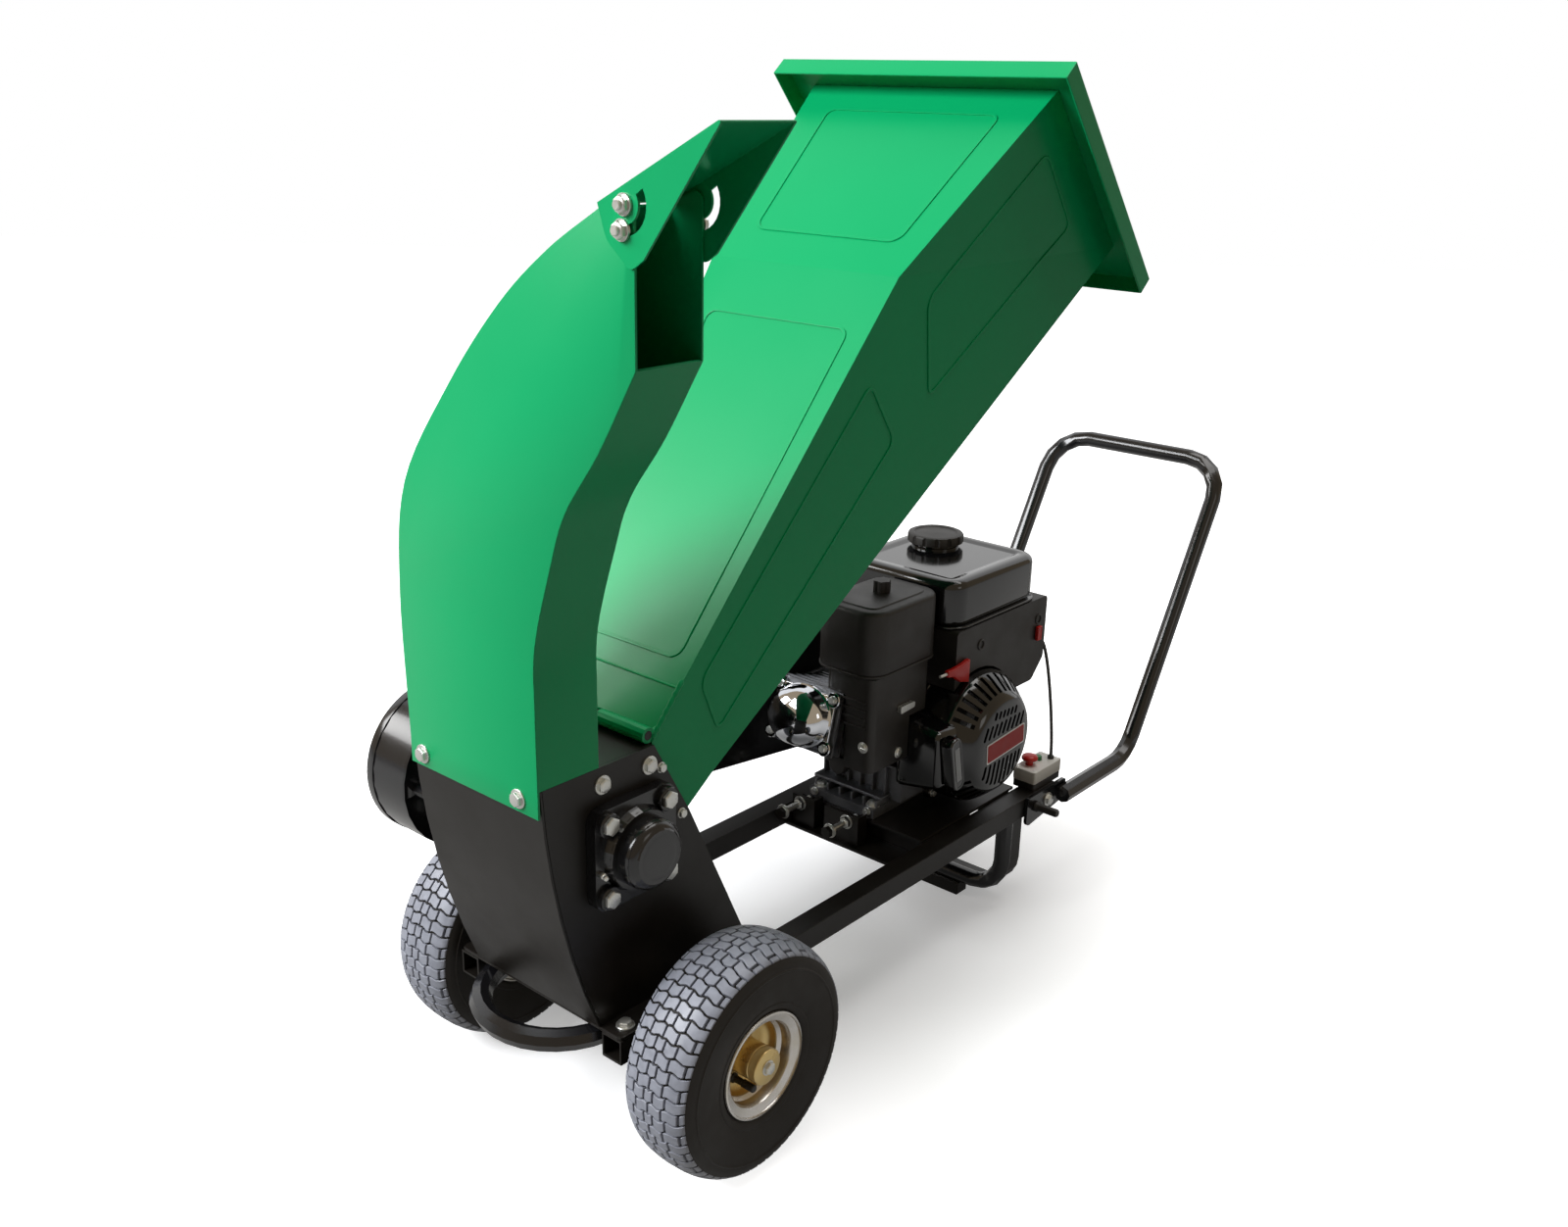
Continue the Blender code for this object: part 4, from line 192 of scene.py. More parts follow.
def turned(stations, sides, start=(0, 0, 0), direction=(0, 0, 1), ring=False):
    """Extrude a circle through stations of (height, radius). A ring's last station is its first."""
    alone()
    height, radius = stations[0]
    bpy.ops.mesh.primitive_circle_add(vertices=sides, radius=radius, location=(0, 0, height),
                                      fill_type="NOTHING" if ring else "NGON")
    obj = settle(bpy.context.object)
    edit_all(obj)
    for next_height, next_radius in stations[1:]:
        rise = {"value": (0, 0, next_height - height)}
        bpy.ops.mesh.extrude_region_move(TRANSFORM_OT_translate=rise)
        share = next_radius / radius
        bpy.ops.transform.resize(value=(share, share, 1), center_override=(0, 0, next_height))
        height, radius = next_height, next_radius
    bpy.ops.mesh.select_all(action="SELECT")
    bpy.ops.mesh.remove_doubles(threshold=SAME_POINT)
    leave_edit(turn_out=True)
    return put(obj, facing(start, direction))


def finished(obj, name, body, finish, angle=35):
    """Name a piece, smooth it, give it its material and let it ride on its body."""
    obj.name = name
    settle(obj)
    bpy.ops.object.shade_smooth_by_angle(angle=math.radians(angle))
    obj.data.materials.clear()
    obj.data.materials.append(finish[0])
    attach(obj, body)
    print(name, "on", body + ":", len(obj.data.polygons), "faces")
    return obj


# %% [markdown]
# ## Camera
#
# The photograph was taken from the front right corner at about chest height, looking down by 19
# degrees. The lens and the camera's place were worked out from known sizes on the machine, such as
# its wheels and tubes, so the render can be laid over the photograph.

# %% Camera
IMAGE_WIDTH = 1600
FOCAL_LENGTH_PX = 1532.8
SENSOR_MM = 36.0
CAMERA_PLACE = Vector((1.137, -1.702, 1.138))

alone()
bpy.ops.object.camera_add(location=CAMERA_PLACE)
camera = bpy.context.object
camera.name = "camera"
ahead = Vector((-0.6113, 0.7191, -0.3305)).normalized()
right = Vector((0.7566, 0.6535, 0.0224)).normalized()
up = right.cross(ahead).normalized()
camera.matrix_world = (Matrix.Translation(CAMERA_PLACE)
                       @ Matrix((right, up, -ahead)).transposed().to_4x4())
camera.data.sensor_fit = "HORIZONTAL"
camera.data.sensor_width = SENSOR_MM
camera.data.lens = FOCAL_LENGTH_PX / IMAGE_WIDTH * SENSOR_MM
bpy.context.scene.camera = camera
bpy.context.scene.view_settings.view_transform = "Standard"
print("lens", round(camera.data.lens, 2), "mm")

# %% [markdown]
# ## Colours and nodes
#
# A colour is written as the hex code that a paint chart or a screen shows. The shader works with
# linear light, so one function does the conversion. A second one adds a shader node with its
# settings and links, which is all that the materials below need.

# %% Colour and node helpers
def srgb(code):
    """An sRGB hex colour as the linear values that a shader takes."""
    parts = [int(code[i:i + 2], 16) / 255 for i in (1, 3, 5)]
    linear = [v / 12.92 if v <= 0.04045 else ((v + 0.055) / 1.055) ** 2.4 for v in parts]
    return (*linear, 1.0)


def add_node(tree, kind, settings=None, links=None):
    """Add a node, set its properties and sockets by name or number, and link sockets to it."""
    node = tree.nodes.new(kind)
    for name, value in (settings or {}).items():
        if isinstance(name, int) or name in node.inputs:
            node.inputs[name].default_value = value
        else:
            setattr(node, name, value)
    for name, source in (links or {}).items():
        tree.links.new(source, node.inputs[name])
    return node


# %% [markdown]
# ## Floor and light
#
# The machine stands on a white sweep, as in a catalogue. The floor is matt paper that takes the
# shadow. A glow that the camera sees brings it to white without any more light on the machine. The
# glow is weaker near the machine, which paints a soft grey shadow under it, on top of the real
# shadow that the lamps cast. Reflections see a share of the floor's glow, and all of the
# backdrop's. A large soft lamp stands ahead of the machine on its left, where the photograph's
# light comes from, with a smaller one further left. So the faces that look forward are bright and
# the right side is dark. One lamp hangs above, a faint one fills the right side, and the rest is
# the weak warm light of the room.

# %% Room, floor and backdrop
FLOOR_SIZE = 30.0
SWEEP_DISTANCE = 9.0
ROOM_LIGHT = 0.09
GLOSS_SHARE = 0.32
# Near the machine the floor's glow falls to NEAR_GLOW, which paints a soft shadow there.
NEAR_GLOW = 0.28
GLOW_STARTS, GLOW_FULL = 0.28, 0.88
# The painted shadow's middle lies a little left of and ahead of the machine's middle.
GLOW_SHIFT, GLOW_STRETCH = (0.2, 0.2, 0), (1.4, 1, 1)
FLOOR_DROP = 0.0005


def seen_only(tree, *rays):
    """A value that is 1 for the named kinds of ray and 0 for the light on the machine."""
    light_path = add_node(tree, "ShaderNodeLightPath")
    return add_node(tree, "ShaderNodeMath", {"operation": "MAXIMUM", 0: 0.0, 1: 0.0},
                    {i: light_path.outputs[ray] for i, ray in enumerate(rays)}).outputs[0]


def seen_with_gloss(tree, *rays):
    """A value that is 1 for the named rays and GLOSS_SHARE for reflections."""
    glossy = add_node(tree, "ShaderNodeMath", {"operation": "MULTIPLY", 1: GLOSS_SHARE},
                      {0: seen_only(tree, "Is Glossy Ray")})
    return add_node(tree, "ShaderNodeMath", {"operation": "MAXIMUM"},
                    {0: seen_only(tree, *rays), 1: glossy.outputs[0]}).outputs[0]


def bare_tree(data):
    """An empty node tree of a material or a world."""
    data.use_nodes = True
    data.node_tree.nodes.clear()
    return data.node_tree


paper_sweep = bpy.data.materials.new("white_paper_sweep")
tree = bare_tree(paper_sweep)
place = add_node(tree, "ShaderNodeMapping", {"Location": GLOW_SHIFT, "Scale": GLOW_STRETCH},
                 {"Vector": add_node(tree, "ShaderNodeTexCoord").outputs["Object"]})
distance = add_node(tree, "ShaderNodeVectorMath", {"operation": "LENGTH"}, {0: place.outputs[0]})
glow_level = add_node(tree, "ShaderNodeMapRange",
                      {"interpolation_type": "SMOOTHSTEP", 1: GLOW_STARTS, 2: GLOW_FULL,
                       3: NEAR_GLOW, 4: 1.0},
                      {"Value": distance.outputs["Value"]})
glow_strength = add_node(tree, "ShaderNodeMath", {"operation": "MULTIPLY"},
                         {0: seen_with_gloss(tree, "Is Camera Ray"), 1: glow_level.outputs[0]})
glow = add_node(tree, "ShaderNodeEmission", None, {"Strength": glow_strength.outputs[0]})
paper_colour = add_node(tree, "ShaderNodeMix",
                        {"data_type": "RGBA", 6: srgb("#8E8C88"), 7: srgb("#ECECEC")},
                        {0: seen_only(tree, "Is Camera Ray")})
paper = add_node(tree, "ShaderNodeBsdfDiffuse", {"Roughness": 0.6},
                 {"Color": paper_colour.outputs[2]})
both = add_node(tree, "ShaderNodeAddShader", None, {0: glow.outputs[0], 1: paper.outputs[0]})
add_node(tree, "ShaderNodeOutputMaterial", None, {"Surface": both.outputs[0]})

backdrop_white = bpy.data.materials.new("white_backdrop")
tree = bare_tree(backdrop_white)
level = add_node(tree, "ShaderNodeMapRange", {3: ROOM_LIGHT, 4: 1.0},
                 {"Value": seen_only(tree, "Is Camera Ray", "Is Glossy Ray")})
glow = add_node(tree, "ShaderNodeEmission", None, {"Strength": level.outputs[0]})
add_node(tree, "ShaderNodeOutputMaterial", None, {"Surface": glow.outputs[0]})

alone()
bpy.ops.mesh.primitive_plane_add(size=FLOOR_SIZE, location=(0, 0, -FLOOR_DROP))
floor = settle(bpy.context.object)
floor.name = "floor"
floor.data.materials.append(paper_sweep)
back = Vector((ahead.x, ahead.y, 0)).normalized()
alone()
bpy.ops.mesh.primitive_plane_add(size=FLOOR_SIZE)
backdrop = put(bpy.context.object, facing(back * SWEEP_DISTANCE, -back))
backdrop.name = "backdrop"
backdrop.data.materials.append(backdrop_white)
print("floor and backdrop are", FLOOR_SIZE, "m wide")

# %% World and lamps
world = bpy.data.worlds.new("studio_room")
bpy.context.scene.world = world
tree = bare_tree(world)
bright = seen_with_gloss(tree, "Is Camera Ray", "Is Transmission Ray")
level = add_node(tree, "ShaderNodeMapRange", {3: ROOM_LIGHT, 4: 1.0}, {"Value": bright})
sky_colour = add_node(tree, "ShaderNodeMix",
                      {"data_type": "RGBA", 6: srgb("#FFE8C6"), 7: srgb("#FFFFFF")},
                      {0: seen_only(tree, "Is Camera Ray")})
sky = add_node(tree, "ShaderNodeBackground", None,
               {"Strength": level.outputs[0], "Color": sky_colour.outputs[2]})
add_node(tree, "ShaderNodeOutputWorld", None, {"Surface": sky.outputs[0]})


def soft_lamp(name, place, target, size, power):
    """A square area lamp that looks at a point, with its size in metres and its power in watts."""
    alone()
    bpy.ops.object.light_add(type="AREA", location=place)
    lamp = bpy.context.object
    lamp.name = name
    lamp.data.size = size
    lamp.data.energy = power
    direction = Vector(target) - Vector(place)
    lamp.rotation_euler = direction.to_track_quat("-Z", "Y").to_euler()
    return lamp


key_lamp = soft_lamp("key_lamp", (-1.4, -3.4, 2.9), (0, -0.3, 0.5), 1.8, 190)
key_lamp.data.color = (0.95, 0.97, 1.0)
soft_lamp("left_lamp", (-3.0, -2.4, 2.3), (0, -0.6, 0.5), 1.2, 42)
soft_lamp("top_lamp", (0.2, 0.6, 3.6), (0, -0.2, 0.4), 2.2, 50)
soft_lamp("side_lamp", (3.0, -0.2, 1.5), (0, -0.1, 0.5), 0.9, 2.8)
print(len(bpy.data.lights), "lamps")

# %% [markdown]
# ## Finishes
#
# Every finish starts from what the real surface is and how it was made. Paint and moulded plastic
# are never one flat colour: the film is a little uneven, the gloss changes from patch to patch, and
# a fine grain breaks up the reflections. One function builds that from two close colours, the size
# of the patches, the roughness and how much it varies, and the size and depth of the grain, with
# all sizes in millimetres. What stays the same all over is set on the shader itself.

# %% The common build-up of a surface
MM = 0.001


def surface(name, slot, colour, second, patch_mm, roughness, spread, grain_mm, depth_mm,
            metallic=0.0, coat=0.0, ior=1.5):
    """Two close colours in patches, uneven gloss and a fine grain. Returns material and slot."""
    material = bpy.data.materials.new(name)
    material.use_nodes = True
    tree = material.node_tree
    shader = tree.nodes["Principled BSDF"]
    shader.inputs["Metallic"].default_value = metallic
    shader.inputs["Coat Weight"].default_value = coat
    shader.inputs["Coat Roughness"].default_value = 0.08
    if not metallic:
        shader.inputs["IOR"].default_value = ior
    place = add_node(tree, "ShaderNodeTexCoord").outputs["Object"]
    patches = add_node(tree, "ShaderNodeTexNoise", {"Scale": 1 / (patch_mm * MM), "Detail": 3.0},
                       {"Vector": place})
    mix = add_node(tree, "ShaderNodeMix", {"data_type": "RGBA", 6: srgb(colour), 7: srgb(second)},
                   {0: patches.outputs["Fac"]})
    gloss = add_node(tree, "ShaderNodeMapRange", {1: 0.3, 2: 0.7, 3: roughness - spread,
                                                  4: roughness + spread},
                     {"Value": patches.outputs["Fac"]})
    grain = add_node(tree, "ShaderNodeTexNoise", {"Scale": 1 / (grain_mm * MM), "Detail": 2.0},
                     {"Vector": place})
    bump = add_node(tree, "ShaderNodeBump", {"Strength": 0.5, "Distance": depth_mm * MM},
                    {"Height": grain.outputs["Fac"]})
    tree.links.new(mix.outputs[2], shader.inputs["Base Color"])
    tree.links.new(gloss.outputs[0], shader.inputs["Roughness"])
    tree.links.new(bump.outputs["Normal"], shader.inputs["Normal"])
    print(name, "for slot", slot)
    return material, slot


# %% [markdown]
# The green sheet metal is stoving enamel on steel: a smooth thick film with the slight waviness
# that painters call orange peel, so its reflections are soft and stretched. The frame and the rotor
# housing are black powder coat, which melts into a tighter and duller film.

# %% Paints
# A thick smooth film: full colour, with soft highlights that follow the bends.
green_enamel = surface("green_stoving_enamel", "green_enamel", "#04A060", "#06A866", 260,
                       0.32, 0.04, 9, 0.04, ior=1.33)
# A dull warm black that shows form by broad, faint highlights.
powder_coat = surface("black_powder_coat", "black_powder_coat", "#14110E", "#191613", 60,
                      0.40, 0.05, 1.6, 0.05, ior=1.4)
# A wet black: tubes and castings show as thin bright lines.
gloss_coat = surface("gloss_black_paint", "black_powder_coat", "#121214", "#17171A", 80,
                     0.22, 0.04, 5, 0.04, coat=0.3)

# %% [markdown]
# The engine's shrouds are injection-moulded: the air filter housing and the panel under the tank
# have a spark-eroded texture, and the starter cover and the tank are smooth and shiny.

# %% Plastics and rubber
# The texture spreads every highlight, so the mouldings look soft and dark grey.
grained_plastic = surface("spark_grained_black_plastic", "black_plastic", "#161310", "#1C1916", 40,
                          0.50, 0.05, 0.9, 0.10)
# Almost a mirror: the tank and the dome show the lamps as clear shapes.
gloss_plastic = surface("smooth_black_plastic", "black_plastic", "#0B0B0C", "#101011", 90,
                        0.13, 0.03, 14, 0.03, coat=0.4)
# The wrapped fabric takes all gloss away.
belt_rubber = surface("fabric_wrapped_rubber", "belt_rubber", "#1D1C1B", "#2A2826", 12,
                      0.75, 0.08, 1.2, 0.15)
# Moulded smooth and a little waxy, a warm black with a dim sheen.
sidewall_rubber = surface("tyre_sidewall_rubber", "tyre_rubber", "#17130F", "#1E1A15", 45,
                          0.62, 0.06, 2.0, 0.08, ior=1.4)
# Pale blue-grey paints in reflected light on the blocks, so they stand out from the dark grooves.
tread_rubber = surface("tyre_tread_painted_sheen", "tyre_rubber", "#7F828C", "#A6A9B4", 9,
                       0.40, 0.08, 1.5, 0.12)
# Slightly yellowed white with a weak gloss.
white_plastic = surface("white_moulded_plastic", "white_plastic", "#EEEAE1", "#F2EFE8", 30,
                        0.42, 0.04, 1.2, 0.05)
# Dyed metal plate: deep red and only half bright.
plate_red = surface("red_anodised_plate", "red_plastic", "#A3130D", "#B01A12", 20,
                    0.42, 0.04, 1.2, 0.03, ior=1.4)
# Strong signal red for what a hand has to find.
red_plastic = surface("red_moulded_plastic", "red_plastic", "#C8140E", "#D41D16", 20,
                      0.35, 0.04, 1.2, 0.04)
# Dark green cap of the start button.
green_plastic = surface("green_moulded_plastic", "green_plastic", "#0C6B2C", "#118038", 10,
                        0.35, 0.04, 1.0, 0.04)
# Plain black rubber, matt beside the bright rim.
valve_rubber = surface("valve_stem_rubber", "tyre_rubber", "#141414", "#1C1C1C", 6,
                       0.50, 0.05, 1.0, 0.05)
# A light grey inlay that is seen as one pale stroke on the grip.
pale_plate = surface("pale_grey_moulded_plastic", "white_plastic", "#9FA3A6", "#AEB2B5", 10,
                     0.40, 0.04, 1.0, 0.04)
# Flexible PVC, grey enough to be seen against the black engine.
grey_sheath = surface("grey_cable_sheath", "black_plastic", "#3F4040", "#4A4B4B", 8,
                      0.50, 0.05, 0.8, 0.05)

# %% [markdown]
# The bare metals differ mostly in how they were finished: zinc plating is a thin bright skin, die
# casting leaves a grey pebbled skin, and ground steel has an even satin gloss.

# %% Metals
# Thin bright skin, a little cloudy, so each bolt head has light and dark faces.
zinc = surface("bright_zinc_plating", "zinc", "#CDD0D2", "#DCDACF", 6,
               0.32, 0.06, 1.2, 0.04, metallic=0.8)
# Aluminium lacquer over rolled steel: bright, with soft grey and warm patches.
rim_silver = surface("silver_lacquered_steel", "rim_steel", "#C2B9A4", "#DCDCE0", 22,
                     0.24, 0.05, 3.0, 0.03, metallic=0.85, coat=0.3)
# Bright zinc with a pale gold tone.
yellow_zinc = surface("pale_gold_zinc", "rim_steel", "#D0B06C", "#DAC590", 24,
                      0.30, 0.05, 2.0, 0.04, metallic=0.85)
# The pebbled casting skin turns every reflection into plain grey.
cast_aluminium = surface("die_cast_aluminium", "cast_aluminium", "#6C6D70", "#7B7C80", 18,
                         0.50, 0.07, 1.3, 0.15, metallic=0.9)
# A mirror: it shows the white room and the black parts round it.
chrome = surface("polished_chrome", "chrome", "#D5D8DE", "#DFE1E6", 60,
                 0.07, 0.02, 20, 0.03, metallic=1.0)
# Bright knife steel, which only the inside of the machine has.
ground_steel = surface("ground_tool_steel", "knife_steel", "#A9AAAD", "#BBBCBE", 10,
                       0.28, 0.06, 0.8, 0.05, metallic=1.0)

# %% [markdown]
# ## Finishes on the solids that stay
#
# Plain plates, shafts, pulleys and knives already have their true shape in the CAD model, so each
# of these gets its finish and keeps its mesh. All other solids are replaced further down.

# %% Give the solids that stay their finish
NODE_FINISHES = {
    powder_coat: ["housing_side_right", "housing_side_left", "housing_rear", "housing_top", "axle",
                  "engine_plate", "engine_cradle", "leg_strap", "foot_bar"],
    gloss_coat: ["bearing_right", "bearing_left"],
    grained_plastic: ["dipstick", "filter_knob"],
    cast_aluminium: ["flywheel", "drive_pulley", "driven_pulley", "rotor_drum"],
    ground_steel: ["anvil_knife", "rotor_shaft", "rotor_knife_1", "rotor_knife_2", "crankshaft"],
    zinc: ["choke_lever"],
    belt_rubber: ["v_belt"],
}
for finish, names in NODE_FINISHES.items():
    for name in names:
        for slot in nodes[name].material_slots:
            slot.material = finish[0]
print(sum(len(names) for names in NODE_FINISHES.values()), "solids keep their mesh")

# %% [markdown]
# ## Wheels
#
# The tyres are turf tyres: a smooth carcass with a tread of low blocks in brick pattern, moulded in
# one piece. The rows run across the tyre in a shallow wave, and the joints of one row sit beside
# the middles of the next row's blocks. The tread is modelled flat, two rows at a time, because a
# flat strip is easy to lay out in millimetres. An Array repeats the pair, and a Simple Deform bends
# the strip into a ring, as rubber is wrapped on a drum before it is moulded.

# %% Sizes of the tyre
SIDES = (("right", 1), ("left", -1))
TREAD_PAIRS = 30
TREAD_RADIUS = 0.1368
GROOVE_DEPTH = 0.0042
GROOVE_WIDTH = 0.0024
WAVE_HEIGHT = 0.0015
WAVE_LENGTH = 0.0195
CROWN = ((0.0, 0.0), (0.014, 0.0005), (0.026, 0.0022), (0.036, 0.0058), (0.0430, 0.0105))
EVEN_ROW = ((0.00125, 0.0168), (0.0192, 0.0362), (0.0386, 0.0430))
ODD_ROW = ((-0.0050, 0.0050), (0.0074, 0.0214), (0.0238, 0.0430))
row_pitch = math.pi * (TREAD_RADIUS - GROOVE_DEPTH) / TREAD_PAIRS
print("rows of the tread are", round(row_pitch / MM, 2), "mm apart")


def crown_drop(x):
    """How far the tread lies below its middle at a distance from the centre plane."""
    x = abs(x)
    for (x0, drop0), (x1, drop1) in zip(CROWN, CROWN[1:]):
        if x <= x1:
            return drop0 + (drop1 - drop0) * (x - x0) / (x1 - x0)
    return CROWN[-1][1]


# %% One pair of tread rows, flat
def tread_block(left, right, height):
    """A block on the strip, which lies along Z and faces -Y."""
    alone()
    bpy.ops.mesh.primitive_grid_add(x_subdivisions=4, y_subdivisions=1, size=1,
                                    location=((left + right) / 2, 0, height),
                                    rotation=(math.radians(90), 0, 0))
    grid = bpy.context.object
    grid.scale = (right - left, row_pitch - GROOVE_WIDTH, 1)
    edit_all(settle(grid))
    bpy.ops.mesh.extrude_region_move(TRANSFORM_OT_translate={"value": (0, -GROOVE_DEPTH, 0)})
    leave_edit()
    return grid


spans = [(a, b, 0.0) for a, b in EVEN_ROW] + [(-b, -a, 0.0) for a, b in EVEN_ROW]
spans += [(a, b, row_pitch) for a, b in ODD_ROW] + [(-b, -a, row_pitch) for a, b in ODD_ROW[1:]]
pair = join([tread_block(*span) for span in spans])
for station in sorted({round(point.co.x, 5) for point in pair.data.vertices}):
    edit_some(pair, "VERT", lambda point: abs(point.co.x - station) < SAME_POINT)
    wave = WAVE_HEIGHT * math.sin(2 * math.pi * abs(station) / WAVE_LENGTH)
    bpy.ops.transform.translate(value=(0, crown_drop(station), wave))
    leave_edit()
edit_all(pair)
bpy.ops.mesh.remove_doubles(threshold=SAME_POINT)
leave_edit(turn_out=True)
round_edges(pair, 0.0005, segments=1)
print(len(pair.data.polygons), "faces in one pair of tread rows")

# %% Bend the strip into a ring
modify(pair, "ARRAY", count=TREAD_PAIRS, use_relative_offset=False, use_constant_offset=True,
       constant_offset_displace=(0, 0, 2 * row_pitch))
heights = [point.co.z for point in pair.data.vertices]
reach = max(heights) - min(heights)
strip = 2 * TREAD_PAIRS * row_pitch
modify(pair, "SIMPLE_DEFORM", deform_method="BEND", deform_axis="X",
       angle=2 * math.pi * reach / strip)
pair.location = (0, -strip / (2 * math.pi), 0)
tread = settle(pair)
print("tread radius", round(max(point.co.y for point in tread.data.vertices), 4))

# %% [markdown]
# The carcass under the tread is turned: its outline goes from bead to bead over the two sidewalls.
# A real mould leaves a raised rim-protector ring low on the sidewall and a fine line at the
# shoulder, so both are in the outline. The outline ends inside the rim's flanges.

# %% Carcass, then both tyres
GROOVE_FLOOR = TREAD_RADIUS - GROOVE_DEPTH
SHOULDER = GROOVE_FLOOR - CROWN[-1][1]
AXLE_Y, AXLE_Z, WHEEL_X = -0.661, 0.137, 0.198
half_outline = [(0.0356, 0.0520), (0.0372, 0.0574), (0.0384, 0.0624), (0.0406, 0.0644),
                (0.0425, 0.0668), (0.0436, 0.0720), (0.0431, 0.0735), (0.0452, 0.0800),
                (0.0470, 0.0900), (0.0478, 0.1010), (0.0476, 0.1100), (0.0483, 0.1112),
                (0.0483, 0.1122), (0.0472, 0.1134), (0.0466, 0.1180), (0.0450, 0.1216),
                (0.0431, SHOULDER + 0.0028), (0.0420, SHOULDER + 0.0004)]
half_outline += [(x, GROOVE_FLOOR + 0.0002 - crown_drop(x)) for x in (0.036, 0.026, 0.014, 0.0)]
outline = half_outline + [(-x, radius) for x, radius in reversed(half_outline[:-1])]
inside = [(-0.0330, 0.0534), (-0.0350, 0.1100), (0.0, 0.1230), (0.0350, 0.1100), (0.0330, 0.0534)]
carcass = turned(outline + inside + outline[:1], 96, direction=(1, 0, 0), ring=True)
for side, sign in SIDES:
    hub = Matrix.Translation((sign * WHEEL_X, AXLE_Y, AXLE_Z))
    walls = copy_of(carcass, hub)
    finished(walls, "tyre_carcass_" + side, "wheel_" + side, sidewall_rubber, 28)
    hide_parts("tyre_" + side)
    finished(copy_of(tread, hub), "tyre_tread_" + side, "wheel_" + side, tread_rubber, 30)
for spare in (carcass, tread):
    bpy.data.objects.remove(spare)

# %% [markdown]
# The wheels are pressed steel rims on a welded hub tube. Two shells make the picture: the silver
# barrel with its rolled lips, and the disc of yellow zinc that is set deep inside it. Both are
# outlines turned round the axle. The rubber valve stem stands in the disc and points outwards.

# %% Outlines of the rim, as (distance from the wheel's middle, radius)
outer_half = [(0.0430, 0.0600), (0.0424, 0.0620), (0.0405, 0.0628), (0.0388, 0.0615),
              (0.0378, 0.0575), (0.0366, 0.0528), (0.0350, 0.0510), (0.0240, 0.0500),
              (0.0200, 0.0465)]
inner_half = [(0.0205, 0.0443), (0.0245, 0.0478), (0.0345, 0.0488), (0.0372, 0.0502),
              (0.0392, 0.0552), (0.0404, 0.0592), (0.0416, 0.0598)]
barrel = (outer_half + [(-x, radius) for x, radius in reversed(outer_half)]
          + [(-x, radius) for x, radius in reversed(inner_half)] + inner_half)
dish = [(0.0190, 0.0444), (0.0125, 0.0436), (0.0085, 0.0412), (0.0062, 0.0372), (0.0055, 0.0320),
        (0.0055, 0.0205), (0.0033, 0.0205), (0.0033, 0.0322), (0.0040, 0.0385), (0.0065, 0.0432),
        (0.0110, 0.0462), (0.0190, 0.0466)]
hub_tube = [(0.0338, 0.0090), (0.0350, 0.0100), (0.0350, 0.0196), (0.0340, 0.0206),
            (0.0065, 0.0206), (0.0055, 0.0222), (0.0030, 0.0222), (0.0020, 0.0206),
            (-0.0340, 0.0206), (-0.0350, 0.0196), (-0.0350, 0.0090)]
valve = [(0, 0.0058), (0.004, 0.0058), (0.0052, 0.0042), (0.016, 0.0038), (0.0168, 0.0047),
         (0.0320, 0.0047), (0.0332, 0.0036)]
print("rim", round(2 * max(radius for x, radius in barrel) / MM, 1), "mm across its lips")

# %% Rims with hub and valve
for side, sign in SIDES:
    centre = Vector((sign * WHEEL_X, AXLE_Y, AXLE_Z))
    way = (sign, 0, 0)
    shell = turned(barrel + barrel[:1], 72, centre, way, ring=True)
    finished(shell, "rim_barrel_" + side, "wheel_" + side, rim_silver, 30)
    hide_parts("rim_" + side)
    disc = turned(dish + dish[:1], 64, centre, way, ring=True)
    finished(disc, "rim_disc_" + side, "wheel_" + side, yellow_zinc, 30)
    tube = turned(hub_tube + hub_tube[:1], 40, centre, way, ring=True)
    finished(tube, "rim_hub_" + side, "wheel_" + side, yellow_zinc, 30)
    stem = turned(valve, 20, centre + Vector((sign * 0.0035, -0.010, -0.0275)), way)
    finished(stem, "valve_stem_" + side, "wheel_" + side, valve_rubber, 30)

# %% [markdown]
# ## Bolts
#
# The machine is held together by zinc-plated hexagon bolts, most with a washer. One bolt is
# modelled for each size: a hexagon whose top corners are chamfered, on a thin round washer. Then it
# is copied to every place. In the CAD model the bolt heads have the colour of the sheet that
# carries them, and each bright head closes over one of them.

# %% Model one bolt of each size
def hexagon_bolt(radius, height, washer_radius, washer_height, stub=0.0):
    """A head on a washer at the origin, facing +Z. With a stub it is a nut on a threaded end."""
    head = turned([(0, radius), (height - 0.0010, radius), (height, radius * 0.88)], 6)
    face = turned([(0, radius * 0.80), (height + 0.0001, radius * 0.80),
                   (height + 0.0003, radius * 0.74)], 24)
    washer = turned([(-0.0004, washer_radius), (washer_height - 0.0003, washer_radius),
                     (washer_height, washer_radius - 0.0003)], 32)
    pieces = [head, face, washer]
    if stub:
        pieces.append(turned([(height - 0.001, radius * 0.56),
                              (height + stub - 0.0008, radius * 0.56),
                              (height + stub, radius * 0.46)], 16))
    return settle(join(pieces))


large_bolt = hexagon_bolt(0.0104, 0.0106, 0.0128, 0.0024)
middle_bolt = hexagon_bolt(0.0080, 0.0062, 0.0104, 0.0018)
middle_nut = join([hexagon_bolt(0.0078, 0.0064, 0.0092, 0.0020, 0.0032),
                   turned([(-0.0045, 0.004), (0.001, 0.004)], 16)])
small_bolt = hexagon_bolt(0.0054, 0.0045, 0.0060, 0.0010)
bolts = {"chassis": [], "push_handle": []}
print(len(large_bolt.data.polygons), "faces in one bolt")


def put_bolt(kind, place, direction, body="chassis"):
    """Copy a bolt to a place on a surface."""
    bolts[body].append(copy_of(kind, facing(place, direction)))


